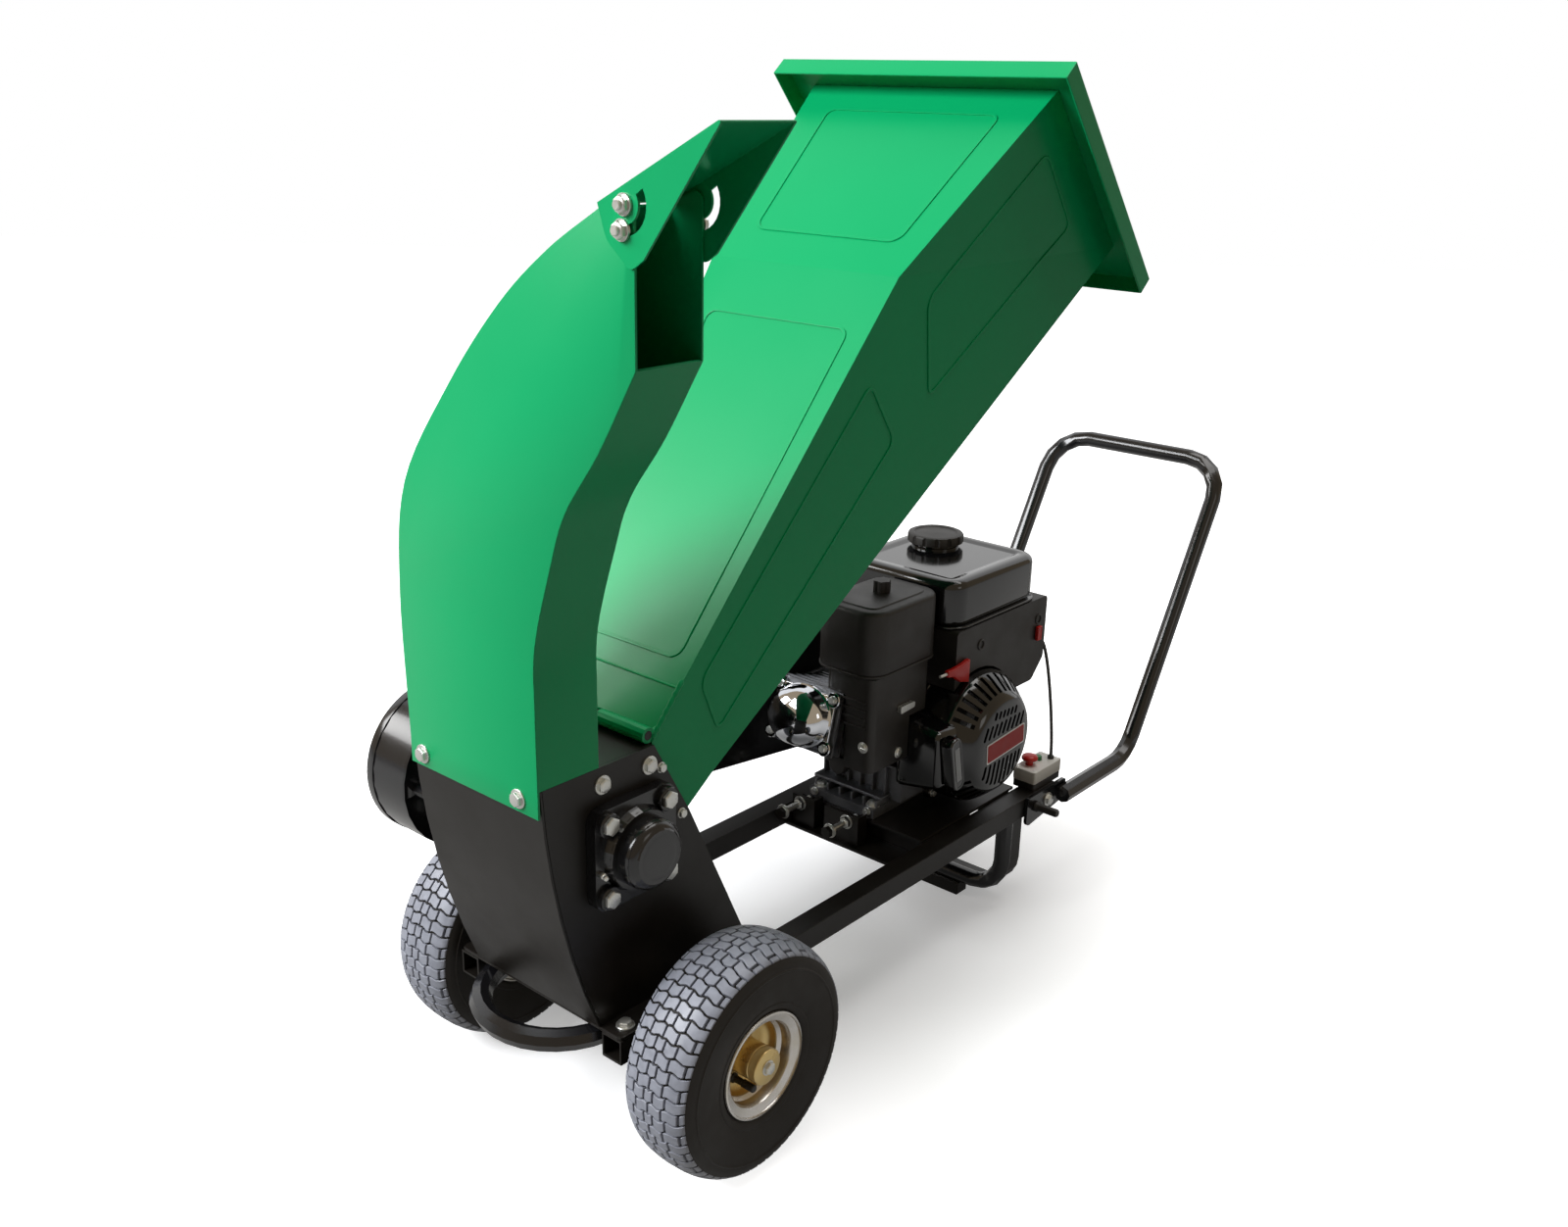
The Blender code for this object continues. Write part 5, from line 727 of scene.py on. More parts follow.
# %% Bolts on the housing, bearings, chute and frame
HOUSING_SIDE, BEARING_FACE, HANDLE_PLATE, RAIL_MIDDLE = 0.102, 0.1163, 0.141, 0.120
CHUTE_FRONT, CHUTE_BACK = -0.8488, -0.7678
TOP_PLATE_BOLTS = ((-0.764, 0.4636), (-0.6975, 0.4631))
REAR_PLATE_BOLTS = ((-0.680, 0.4546), (-0.649, 0.3896))
BEARING_BOLTS = [(y, z) for y in (-0.772, -0.688) for z in (0.3426, 0.4266)]
HANDLE_PIVOT = (0.079, 0.1573)
FLAP_PIVOT, FLAP_STOP = (0.238, 1.0476), (0.2352, 1.0276)
for side, sign in SIDES:
    for kind, x, spots in ((middle_bolt, HOUSING_SIDE, TOP_PLATE_BOLTS),
                           (small_bolt, HOUSING_SIDE, REAR_PLATE_BOLTS),
                           (large_bolt, BEARING_FACE, BEARING_BOLTS)):
        for y, z in spots:
            put_bolt(kind, (sign * x, y, z), (sign, 0, 0))
    put_bolt(middle_bolt, (sign * RAIL_MIDDLE, -0.7535, 0.1796), (0, 0, 1))
    put_bolt(middle_bolt, (sign * HANDLE_PLATE, *HANDLE_PIVOT), (sign, 0, 0), "push_handle")
for y, way in ((CHUTE_FRONT, -1), (CHUTE_BACK, 1)):
    for x, z in (FLAP_PIVOT, FLAP_STOP):
        put_bolt(middle_nut, (x, y + way * 0.0033, z), (0, way, 0))
for x in (-0.081, 0.073):
    put_bolt(middle_bolt, (x, CHUTE_FRONT, 0.4686), (0, -1, 0))
print({body: len(copies) for body, copies in bolts.items()}, "bolts so far")

# %% [markdown]
# ## Chute and deflector
#
# The chute is welded from four sheets: flat ones in front and behind, and two curved ones between
# them. In the CAD model its curves are drawn with a few straight pieces. Here one smooth curve runs
# through the same points, each sheet is cut from its outline as with a pair of shears, and the
# front one hangs down over the housing, where two bolts hold it.

# %% Smooth lines and plates cut from an outline
def smooth_line(points, steps):
    """Points on a curve that runs through flat points, with the given steps between them."""
    given = [Vector(point) for point in points]
    given = [2 * given[0] - given[1]] + given + [2 * given[-1] - given[-2]]
    made = []
    for a, b, c, d in zip(given, given[1:], given[2:], given[3:]):
        for i in range(steps):
            t = i / steps
            made.append((2 * b + (c - a) * t + (2 * a - 5 * b + 4 * c - d) * t ** 2
                         + (3 * b - 3 * c + d - a) * t ** 3) / 2)
    return made + [given[-2]]


def moved_line(line, distance):
    """The line at a distance to its left."""
    made = []
    for i, point in enumerate(line):
        along = (line[min(i + 1, len(line) - 1)] - line[max(i - 1, 0)]).normalized()
        made.append(point + Vector((-along.y, along.x)) * distance)
    return made


def cut_plate(outline, depth, edge=0.0):
    """A plate from its outline in space, thick along a vector, its first face's rim rounded."""
    alone()
    bpy.ops.mesh.primitive_circle_add(vertices=len(outline), radius=1, fill_type="NGON")
    plate = bpy.context.object
    for vertex, point in zip(plate.data.vertices, outline):
        vertex.co = point
    edit_all(plate)
    bpy.ops.mesh.extrude_region_move(TRANSFORM_OT_translate={"value": depth})
    leave_edit(turn_out=True)
    if edge:
        start, way = Vector(outline[0]), Vector(depth).normalized()
        edit_edges(plate, lambda *ends: all(abs((end - start).dot(way)) < 1e-6 for end in ends))
        bpy.ops.mesh.bevel(offset=edge, segments=2, affect="EDGES")
        leave_edit()
    return plate


# %% Chute from four sheets
# Half the width of its foot, how far its mouth is thrown sideways, its rise, and its foot's height.
HALF, THROW, RISE, FOOT = 0.102, 0.206, 0.5597, 0.4839
# The sheet, the front one's overlap, the radius round the flap's pivot, and the rounded edge.
SHEET, LAP, EAR, SHEARED_EDGE = 0.0025, 0.030, 0.0075, 0.0007
pivot = Vector(FLAP_PIVOT)
outer_line = smooth_line([(x, FOOT + share * RISE) for x, share in (
    (-HALF, 0), (-HALF - 0.003, 0.29), (-HALF + 0.017, 0.498), (-HALF + 0.096, 0.691),
    (THROW - 0.135, 0.836), (THROW - 0.068, 0.929), (THROW, 1))], 6)
inner_line = smooth_line([(x, FOOT + share * RISE) for x, share in (
    (HALF, 0), (HALF, 0.157), (HALF + 0.003, 0.271), (HALF + 0.029, 0.423), (HALF + 0.051, 0.521),
    (HALF + 0.097, 0.634), (pivot.x + EAR, 0.770))], 6)
ear = [pivot + EAR * Vector((math.cos(math.radians(a)), math.sin(math.radians(a))))
       for a in range(110, -1, -10)]
side_outline = outer_line + ear + inner_line[::-1]
lap_outline = [Vector((HALF, FOOT - LAP)), Vector((-HALF, FOOT - LAP))] + side_outline
sheets = [cut_plate([(p.x, y, p.y) for p in line], (0, way * SHEET, 0), SHEARED_EDGE)
          for y, way, line in ((CHUTE_FRONT, 1, lap_outline), (CHUTE_BACK, -1, side_outline))]
for line, inward in ((outer_line, -SHEET), (inner_line, SHEET)):
    strip = line + moved_line(line, inward)[::-1]
    sheets.append(cut_plate([(p.x, CHUTE_FRONT + SHEET, p.y) for p in strip],
                            (0, CHUTE_BACK - CHUTE_FRONT - 2 * SHEET, 0)))
chute = finished(join(sheets), "chute_welded_sheets", "chassis", green_enamel, 30)
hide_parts("chute")

# %% [markdown]
# The other folded sheets and square tubes have their true form in the CAD model. A merged copy
# stands in for each: its flat walls are made one face again, its hard edges are slightly rounded,
# as bent and painted edges are, and its shallow bends are shaded smooth.

# %% A copy of a CAD solid with soft edges
def smooth_copy(node, body, finish, angle, edge=0.0):
    """A merged copy that replaces a CAD node, with soft edges, smooth below an angle."""
    alone()
    bpy.ops.mesh.primitive_cube_add(size=1)
    double = bpy.context.object
    double.data = nodes[node].data.copy()
    edit_all(double)
    bpy.ops.mesh.remove_doubles(threshold=0.000002)
    bpy.ops.mesh.dissolve_limited(angle_limit=math.radians(0.3))
    leave_edit()
    if edge:
        round_edges(double, edge)
    finished(double, node + "_smooth", body, finish, angle)
    modify(double, "WEIGHTED_NORMAL", keep_sharp=True)
    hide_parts(node)


for node, body, finish, edge in (
        ("deflector", "chute_flap", green_enamel, 0.0006),
        ("hopper", "feed_hopper", green_enamel, 0.0),
        ("hopper_rim", "feed_hopper", green_enamel, 0.0016),
        ("housing_front", "chassis", powder_coat, 0.0006),
        ("rail_right", "chassis", powder_coat, 0.0020),
        ("rail_left", "chassis", powder_coat, 0.0020),
        ("base_plate", "chassis", powder_coat, 0.0008)):
    smooth_copy(node, body, finish, 24, edge)

# %% [markdown]
# ## Feed hopper
#
# The hopper's large flat walls are stiffened by shallow pressed outlines: rounded frames that are
# only a millimetre or so high, but catch the light. Each frame is a rounded plate that is inset and
# whose middle is taken out. The side walls are a little twisted, so the frame is cut fine and
# pressed onto its wall with a Shrinkwrap modifier before it is raised.

# %% A pressed frame on a wall
FRAME_WIDTH = 0.0034
FRAME_HEIGHT = 0.0013
FRAME_START = 0.03


def pressed_frame(corners, outward, radius):
    """A thin raised line with rounded corners along a flat outline, on the wall's outer side."""
    corners = [Vector(corner) for corner in corners]
    outward = Vector(outward).normalized()
    origin = sum(corners, Vector()) / len(corners)
    along = (corners[1] - corners[0]).normalized()
    turn = Matrix((along, outward.cross(along), outward)).transposed().to_4x4()
    place = Matrix.Translation(origin) @ turn
    flat = [place.inverted() @ corner for corner in corners]
    alone()
    bpy.ops.mesh.primitive_circle_add(vertices=len(flat), radius=1, fill_type="NGON")
    outline = bpy.context.object
    order = sorted(range(len(flat)), key=lambda i: -math.atan2(flat[i].y, flat[i].x))
    ring = sorted(outline.data.vertices, key=lambda v: -math.atan2(v.co.y, v.co.x))
    for vertex, i in zip(ring, order):
        vertex.co = (flat[i].x, flat[i].y, FRAME_START)
    edit_all(outline)
    bpy.ops.mesh.bevel(offset=radius, segments=6, affect="VERTICES")
    bpy.ops.mesh.select_all(action="SELECT")
    bpy.ops.mesh.inset(thickness=FRAME_WIDTH)
    bpy.ops.mesh.delete(type="FACE")
    bpy.ops.mesh.select_all(action="SELECT")
    bpy.ops.mesh.subdivide(number_cuts=4)
    leave_edit()
    outline.matrix_world = place
    modify(outline, "SHRINKWRAP", target=nodes["hopper"], wrap_method="PROJECT",
           use_project_z=True, use_negative_direction=True, use_positive_direction=False)
    edit_all(settle(outline))
    bpy.ops.mesh.extrude_region_move(TRANSFORM_OT_translate={"value": outward * FRAME_HEIGHT})
    leave_edit(turn_out=True)
    return round_edges(outline, 0.0005)


# %% Frames on the front and side walls
front_line = [Vector(point) for point in ((-0.688, 0.4856), (-0.65156, 0.53576),
                                          (-0.34808, 0.94439), (-0.11436, 1.1419))]
rear_line = [Vector(point) for point in ((-0.6345, 0.3896), (-0.60031, 0.42065),
                                         (-0.27281, 0.69031), (0.0480, 0.95709))]
half_widths = (0.097, 0.101, 0.140, 0.182)
HOPPER_INSIDE = Vector((0, -0.3, 0.80))


def on_front(part, share, side):
    """A point on the front wall, from its lower end, and across it from -1 to 1."""
    low, high = front_line[part], front_line[part + 1]
    middle = low.lerp(high, share)
    half = half_widths[part] + (half_widths[part + 1] - half_widths[part]) * share
    return Vector((side * half, middle.x, middle.y))


def on_side(part, share, height, sign):
    """A point on a side wall, height 0 at its front edge and 1 at its rear edge."""
    front = on_front(part, share, sign)
    rear = rear_line[part].lerp(rear_line[part + 1], share)
    return front.lerp(Vector((front.x, rear.x, rear.y)), height)


def wall_normal(a, b, c):
    """Outward direction of the wall through three of its points."""
    normal = (b - a).cross(c - a).normalized()
    return normal if normal.dot(a - HOPPER_INSIDE) > 0 else -normal


frames = []
for part, low, high, inner in ((1, 0.055, 0.865, 0.80), (2, 0.16, 0.86, 0.74)):
    corners = [on_front(part, low, -inner), on_front(part, low, inner),
               on_front(part, high, inner), on_front(part, high, -inner)]
    frames.append(pressed_frame(corners, wall_normal(*corners[:3]), 0.016))
for sign in (1, -1):
    for part, spots in ((1, ((0.06, 0.20), (0.84, 0.20), (0.90, 0.60), (0.06, 0.75))),
                        (2, ((0.13, 0.22), (0.86, 0.20), (0.86, 0.66), (0.06, 0.62)))):
        corners = [on_side(part, share, height, sign) for share, height in spots]
        frames.append(pressed_frame(corners, wall_normal(*corners[:3]), 0.014))
finished(join(frames), "hopper_pressed_frames", "feed_hopper", green_enamel, 40)

# %% [markdown]
# The throat is bent at its upper end, and the funnel's corners are welded from outside and painted
# over. A ridge across the bend and a fine bead with an uneven surface at each corner show both.

# %% Bend ridge and weld beads at the throat
BEAD_STEP = 0.0035


def weld_bead(start, end, radius):
    """A thin uneven bead between two points."""
    start, end = Vector(start), Vector(end)
    length = (end - start).length
    steps = round(length / BEAD_STEP)
    stations = [(0.0, radius * 0.5)]
    for i in range(1, steps):
        stations.append((length * i / steps, radius * (1.0 + 0.25 * (i % 2) - 0.15 * (i % 3))))
    stations.append((length, radius * 0.5))
    return turned(stations, 10, start, end - start)


beads = []
for sign in (1, -1):
    beads.append(weld_bead(on_front(0, 0.05, sign * 0.985), on_front(1, 0.02, sign * 0.985),
                           0.0030))
    beads.append(weld_bead((sign * 0.094, -0.6875, 0.4925), (sign * 0.094, -0.6790, 0.4985),
                           0.0034))
beads.append(turned([(0, 0.0014), (0.198, 0.0014)], 10, on_front(1, 0.0, -0.98), (1, 0, 0)))
finished(join(beads), "throat_welds", "feed_hopper", green_enamel, 60)

# %% [markdown]
# ## Bent tubes and round castings
#
# The front loop, the leg hoop and the handle are bent from drawn steel tube, so a light runs along
# them in one unbroken line. The CAD solids have the bends and enough sides for the outline, and
# what they lack is only the smooth shading. The same holds for the turned and cast pieces below.

# %% Smooth shading on tubes, guard and castings
for node, body, finish in (
        ("front_loop", "chassis", gloss_coat), ("rear_leg", "chassis", gloss_coat),
        ("handle", "push_handle", gloss_coat), ("guard_cover", "chassis", gloss_coat),
        ("guard_back", "chassis", gloss_coat), ("muffler", "chassis", powder_coat),
        ("crankcase", "chassis", cast_aluminium), ("cylinder", "chassis", cast_aluminium),
        ("lock_pin_right", "pin_right", grained_plastic),
        ("lock_pin_left", "pin_left", grained_plastic),
        ("filter_body", "chassis", grained_plastic),
        ("control_panel", "chassis", grained_plastic)):
    smooth_copy(node, body, finish, 38)

# %% [markdown]
# The belt guard is closed by a lid whose rolled rim stands a little proud, which is the dark line
# that runs round the guard near its outer face. Its outline is an arc round each shaft, joined by
# straight lines.

# %% Lid of the belt guard
ROTOR_AXIS, CRANK_AXIS = Vector((-0.730, 0.3846)), Vector((-0.047, 0.2859))
BIG_END, SMALL_END = 0.0934, 0.0788
LID_INSIDE, LID_DEPTH, LID_EDGE = -0.2303, 0.0118, 0.0016
ARC_STEPS = 40
between = CRANK_AXIS - ROTOR_AXIS
lean = math.acos((BIG_END - SMALL_END) / between.length)
heading = math.atan2(between.y, between.x)
lid_line = []
for centre, radius, first, last in ((ROTOR_AXIS, BIG_END, lean, 2 * math.pi - lean),
                                    (CRANK_AXIS, SMALL_END, -lean, lean)):
    for i in range(ARC_STEPS + 1):
        angle = heading + first + (last - first) * i / ARC_STEPS
        lid_line.append(centre + radius * Vector((math.cos(angle), math.sin(angle))))
lid = cut_plate([(LID_INSIDE, p.x, p.y) for p in lid_line], (LID_DEPTH, 0, 0), LID_EDGE)
finished(lid, "guard_lid", "chassis", gloss_coat, 35)

# %% [markdown]
# ## Bearings and axle ends
#
# The rotor turns in two flange bearings. Each is a square casting with a round boss, four bolts on
# raised seats and a pressed cap with a rolled shoulder. The cap is painted in gloss black like the
# casting, so the shoulder is what the eye finds first. Each wheel is held by a collar on the axle's
# end with a small zinc bolt and washer in it.

# %% Caps, seats and end bolts
BOSS = [(0, 0.0450), (0.0080, 0.0446), (0.0098, 0.0432), (0.0102, 0.0410)]
SEAT = [(-0.001, 0.0138), (0.0052, 0.0134), (0.0060, 0.0126)]
CAP = [(0, 0.0386), (0.0125, 0.0386), (0.0165, 0.0380), (0.0200, 0.0362), (0.0224, 0.0332),
       (0.0238, 0.0294), (0.0245, 0.0250), (0.0247, 0.0200), (0.0248, 0.0004)]
COLLAR = [(0, 0.0210), (0.0092, 0.0210), (0.0102, 0.0204), (0.0106, 0.0194)]
axle_bolt = hexagon_bolt(0.0072, 0.0052, 0.0088, 0.0012)
nipple = turned([(0, 0.0034), (0.0050, 0.0034), (0.0056, 0.0022), (0.0080, 0.0022),
                 (0.0088, 0.0030), (0.0104, 0.0028), (0.0112, 0.0018)], 12)
for side, sign in SIDES:
    way = (sign, 0, 0)
    boss = turned(BOSS, 56, (sign * 0.116, *ROTOR_AXIS), way)
    seats = [turned(SEAT, 28, (sign * BEARING_FACE, *spot), way) for spot in BEARING_BOLTS]
    finished(join([boss] + seats), "bearing_boss_" + side, "chassis", gloss_coat, 30)
    cap = turned(CAP, 64, (sign * 0.1258, *ROTOR_AXIS), way)
    finished(cap, "bearing_cap_" + side, "chassis", gloss_coat, 40)
    put_bolt(nipple, (sign * BEARING_FACE, -0.7795, 0.372), (sign, -0.3, 0))
    collar = turned(COLLAR, 40, (sign * 0.2338, AXLE_Y, AXLE_Z), way)
    finished(collar, "axle_collar_" + side, "chassis", yellow_zinc, 30)
    wheel_bolt = copy_of(axle_bolt, facing((sign * 0.2443, AXLE_Y, AXLE_Z), way))
    finished(wheel_bolt, "axle_bolt_" + side, "chassis", zinc, 30)
for spare in (axle_bolt, nipple):
    bpy.data.objects.remove(spare)

# %% [markdown]
# ## Starter cover
#
# The starter cover is the engine's showpiece: a deep dome in glossy black with air slots all round
# its shoulder and fields of slanted slots on its face, between which sits a bare plate. The dome is
# one outline turned round the crankshaft, with a wall, so the slots can be cut right through it
# with a Boolean and the flywheel shows dark behind them. The cutters are thin blocks.

# %% Turn the dome
CRANK = Vector((0, *CRANK_AXIS))
COVER_BACK = 0.0403
WALL = 0.003
dome_line = [(0.0005, 0.0958), (0.0540, 0.0954), (0.0590, 0.0938), (0.0640, 0.0910),
             (0.0700, 0.0866), (0.0760, 0.0816), (0.0820, 0.0766), (0.0876, 0.0718),
             (0.0912, 0.0680), (0.0934, 0.0640), (0.0950, 0.0580), (0.0956, 0.0500),
             (0.0957, 0.0006)]
dome_inside = [(height - WALL, radius - WALL) for height, radius in dome_line[1:-1]]
dome_ring = dome_line + [(0.0957 - WALL, 0.0006)] + dome_inside[::-1] + [(0.0005, 0.0958 - WALL)]
cover_foot = CRANK + Vector((COVER_BACK, 0, 0))
dome = turned(dome_ring + dome_ring[:1], 80, cover_foot, (1, 0, 0), ring=True)
print(len(dome.data.polygons), "faces in the dome before its slots")

# %% Cut the slots
SHOULDER_SLOTS, SHOULDER_SLOT_WIDTH = 38, 0.0062
GRIP_ANGLE, GRIP_GAP = 180, 27
FACE_SLOT_WIDTH, FACE_SLOT_DEPTH = 0.0056, 0.03
UPPER_SLANT, LOWER_SLANT = -24, -12
FIELD_RADIUS = 0.060


def slot_cutter(y, z, height, slant):
    """A thin upright block in the cover's face, placed from its middle and leaned by degrees."""
    reach = Vector((FACE_SLOT_DEPTH, FACE_SLOT_WIDTH, height)) / 2
    cutter = block(-reach, reach, corner=FACE_SLOT_WIDTH * 0.45, upright="X", segments=1)
    return put(cutter, spun(cover_foot + Vector((0.096, y, z)), slant))


cutters = []
for i in range(SHOULDER_SLOTS):
    angle = 360 * (i + 0.5) / SHOULDER_SLOTS
    if abs(angle - GRIP_ANGLE) < GRIP_GAP:
        continue
    cutter = block((COVER_BACK + 0.0600, 0.0735, -SHOULDER_SLOT_WIDTH / 2),
                   (COVER_BACK + 0.0868, 0.11, SHOULDER_SLOT_WIDTH / 2))
    cutters.append(put(cutter, spun(CRANK, angle)))
for i in range(6):
    cutters.append(slot_cutter(i * 0.0098 - 0.024, 0.0475 - 0.0006 * i, 0.012, UPPER_SLANT))
for i in range(9):
    cutters.append(slot_cutter(i * 0.0112 - 0.046, 0.0265, 0.021, UPPER_SLANT))
for i in range(9):
    reach = math.sqrt(FIELD_RADIUS ** 2 - (i * 0.0106 - 0.0424) ** 2)
    cutters.append(slot_cutter(i * 0.0106 - 0.044, -0.010 - reach / 2, reach - 0.022, LOWER_SLANT))
print(len(cutters), "slots in the starter cover")
cut_away(dome, join(cutters))
finished(dome, "starter_cover_dome", "chassis", gloss_plastic, 32)
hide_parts("recoil_cover")

# %% [markdown]
# A moulded arm on the cover carries the rope and the grip. The grip is a leaning T with a pale
# plate let into it. Four small bolts hold the cover by ears on its skirt.

# %% Rope arm, skirt and ears
ARM_FACE = 0.1130
arm = block((COVER_BACK + 0.0004, CRANK.y - 0.127, CRANK.z - 0.052),
            (ARM_FACE, CRANK.y - 0.060, CRANK.z + 0.056))
edit_some(arm, "FACE", lambda face: face.normal.x > 0.99)
bpy.ops.transform.resize(value=(1, 0.86, 0.76),
                         center_override=(ARM_FACE, CRANK.y - 0.092, CRANK.z - 0.002))
leave_edit()
round_edges(arm, 0.011, 5, above=40)
cut_away(arm, turned([(-0.01, 0.0925), (0.12, 0.0925)], 64, cover_foot, (1, 0, 0)))
skirt = turned([(0.0, 0.0975), (0.0045, 0.0975), (0.0060, 0.0962), (0.0064, 0.0940)], 80,
               cover_foot, (1, 0, 0))
cut_away(skirt, turned([(-0.01, 0.0920), (0.02, 0.0920)], 64, cover_foot, (1, 0, 0)))
ears = []
for angle in (62, 118, 245, 300):
    spot = spun(cover_foot, angle) @ Vector((0, 0.0985, 0))
    ears.append(turned([(0, 0.0085), (0.0085, 0.0080), (0.0095, 0.0070)], 28, spot, (1, 0, 0)))
    put_bolt(small_bolt, spot + Vector((0.0095, 0, 0)), (1, 0, 0))
finished(join([arm, skirt] + ears), "starter_cover_arm", "chassis", gloss_plastic, 35)

# %% Bare plate on the cover's face
PLATE_LEAN = 4
border = block((0, -0.047, -0.0150), (0.0012, 0.047, 0.0150), corner=0.003, upright="X")
field = block((0.0003, -0.0448, -0.0130), (0.0016, 0.0448, 0.0130), corner=0.002, upright="X")
for plate in (border, field):
    put(plate, spun(cover_foot + Vector((0.0953, 0.004, -0.001)), PLATE_LEAN))
finished(border, "starter_plate_border", "chassis", zinc, 30)
finished(field, "starter_plate_field", "chassis", plate_red, 30)

# %% Starter grip
GRIP_PLACE, GRIP_LEAN = (0.1138, -0.153, 0.2879), 12
grip = block((0, -0.0125, -0.0400), (0.0192, 0.0125, 0.0400), corner=0.010, upright="X",
             edge=0.0035)
edit_some(grip, "FACE", lambda face: face.normal.x > 0.95)
bpy.ops.mesh.inset(thickness=0.003)
bpy.ops.transform.translate(value=(-0.0012, 0, 0))
leave_edit()
inlay = block((0.0172, -0.0055, -0.0255), (0.0187, 0.0055, 0.0255), corner=0.0015, upright="X")
rope = turned([(-0.045, 0.0024), (0.004, 0.0024)], 16, direction=(1, 0, 0))
for piece in (grip, inlay, rope):
    put(piece, spun(GRIP_PLACE, GRIP_LEAN))
finished(join([grip, rope]), "starter_grip_with_rope", "pull_grip", gloss_plastic, 35)
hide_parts("starter_grip")
finished(inlay, "starter_grip_plate", "pull_grip", pale_plate, 35)

# %% [markdown]
# ## Fuel tank and cap
#
# The tank is made of two shells that meet in a flange near its foot, with large soft corners and a
# shallow tray on top for the filler. It is deep gloss black, so its edges show as white lines of
# reflected light. The cap is a thick disc with finger notches round its edge.

# %% Tank
TANK_LOW, TANK_HIGH = Vector((-0.118, -0.106, 0.4513)), Vector((0.080, 0.107, 0.5170))
tank = block(TANK_LOW, TANK_HIGH, corner=0.030, upright="Z", edge=0.011, segments=4)
edit_some(tank, "FACE", lambda face: face.normal.z > 0.99)
bpy.ops.mesh.inset(thickness=0.010)
bpy.ops.mesh.inset(thickness=0.004)
bpy.ops.transform.translate(value=(0, 0, -0.0022))
bpy.ops.mesh.inset(thickness=0.004)
leave_edit()
flange = block(TANK_LOW + Vector((-0.002, -0.002, 0.0002)), (0.0845, 0.109, 0.4545),
               corner=0.032, edge=0.0012)
finished(join([tank, flange]), "fuel_tank_shells", "chassis", gloss_plastic, 32)
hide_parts("fuel_tank")

# %% Filler neck and cap
CAP_PLACE = Vector((-0.056, 0.037, 0.5213))
NOTCHES = 14
neck = turned([(-0.012, 0.0345), (-0.004, 0.0340), (-0.0035, 0.0318), (-0.0004, 0.0314)], 56,
              CAP_PLACE)
finished(neck, "filler_neck", "chassis", gloss_plastic, 32)
cap = turned([(0.0, 0.0385), (0.0012, 0.0404), (0.0105, 0.0404), (0.0128, 0.0392),
              (0.0138, 0.0370), (0.0138, 0.0320), (0.0122, 0.0300), (0.0124, 0.0100),
              (0.0126, 0.0004)], 72, CAP_PLACE)
notch = turned([(-0.01, 0.0050), (0.03, 0.0050)], 16, (0.0436, 0, 0))
cut_away(cap, join([copy_of(notch, spun(CAP_PLACE, 360 * i / NOTCHES, "Z"))
                    for i in range(NOTCHES)]))
bpy.data.objects.remove(notch)
finished(cap, "fuel_cap_notched", "tank_cap", grained_plastic, 30)
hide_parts("fuel_cap")

# %% [markdown]
# ## Air filter housing
#
# The cover is a grained moulding with very round corners towards the front, a lip that closes over
# the lower housing and a raised field on top. The lower housing has four fine ribs on its front and
# is held by two cross-head screws.

# %% Filter cover
cover = block((-0.040, -0.261, 0.4183), (0.066, -0.111, 0.5085), corner=0.030, edge=0.006,
              segments=4)
edit_some(cover, "FACE", lambda face: face.normal.z > 0.99)
bpy.ops.mesh.inset(thickness=0.010)
bpy.ops.mesh.inset(thickness=0.0015)
bpy.ops.transform.translate(value=(0, 0, 0.0015))
leave_edit()
lip = block((-0.0412, -0.2622, 0.4181), (0.0672, -0.1098, 0.4218), corner=0.0315, edge=0.0008,
            segments=4)
finished(join([cover, lip]), "filter_cover_moulding", "chassis", grained_plastic, 32)
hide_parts("filter_cover")

# %% Ribs, screws and the panel's dimples
ribs = [block((-0.0030, -0.2600, z), (0.0530, -0.2570, z + 0.0030), edge=0.0007, segments=2)
        for z in (0.3835, 0.3717, 0.3599, 0.3481)]
finished(join(ribs), "filter_housing_ribs", "chassis", grained_plastic, 30)


def cross_screw(radius):
    """A pan-head screw with a cross recess on a thin washer."""
    screw = turned([(0, radius), (0.0014, radius), (0.0026, radius * 0.80),
                    (0.0031, radius * 0.45)], 28)
    washer = turned([(-0.0006, radius * 1.28), (0.0006, radius * 1.28),
                     (0.0008, radius * 1.22)], 28)
    long, short = radius * 0.62, radius * 0.13
    for x, y in ((long, short), (short, long)):
        cut_away(screw, block((-x, -y, 0.0016), (x, y, 0.005)))
    return join([screw, washer])


screw = cross_screw(0.0060)
put_bolt(screw, (0.0509, -0.2584, 0.3223), (0, -1, 0))
put_bolt(screw, (0.0633, -0.1959, 0.2990), (1, 0, 0))
bpy.data.objects.remove(screw)
DIMPLE = [(-0.001, 0.0052), (0.0012, 0.0052), (0.0018, 0.0060), (0.0018, 0.0072),
          (0.0010, 0.0080), (-0.001, 0.0080)]
dimples = [turned(DIMPLE + DIMPLE[:1], 32, (0.086, y, 0.4189), (1, 0, 0), ring=True)
           for y in (-0.0448, 0.1035)]
finished(join(dimples), "panel_dimples", "chassis", grained_plastic, 35)

# %% [markdown]
# ## Cylinder head, levers and mount
#
# The rocker cover is drawn from bright chromed sheet: a deep round cup with a rolled foot on a
# flange with four ears. Its polish mirrors the whole room, so the turned outline needs many
# stations, or the mirror breaks up into bands.

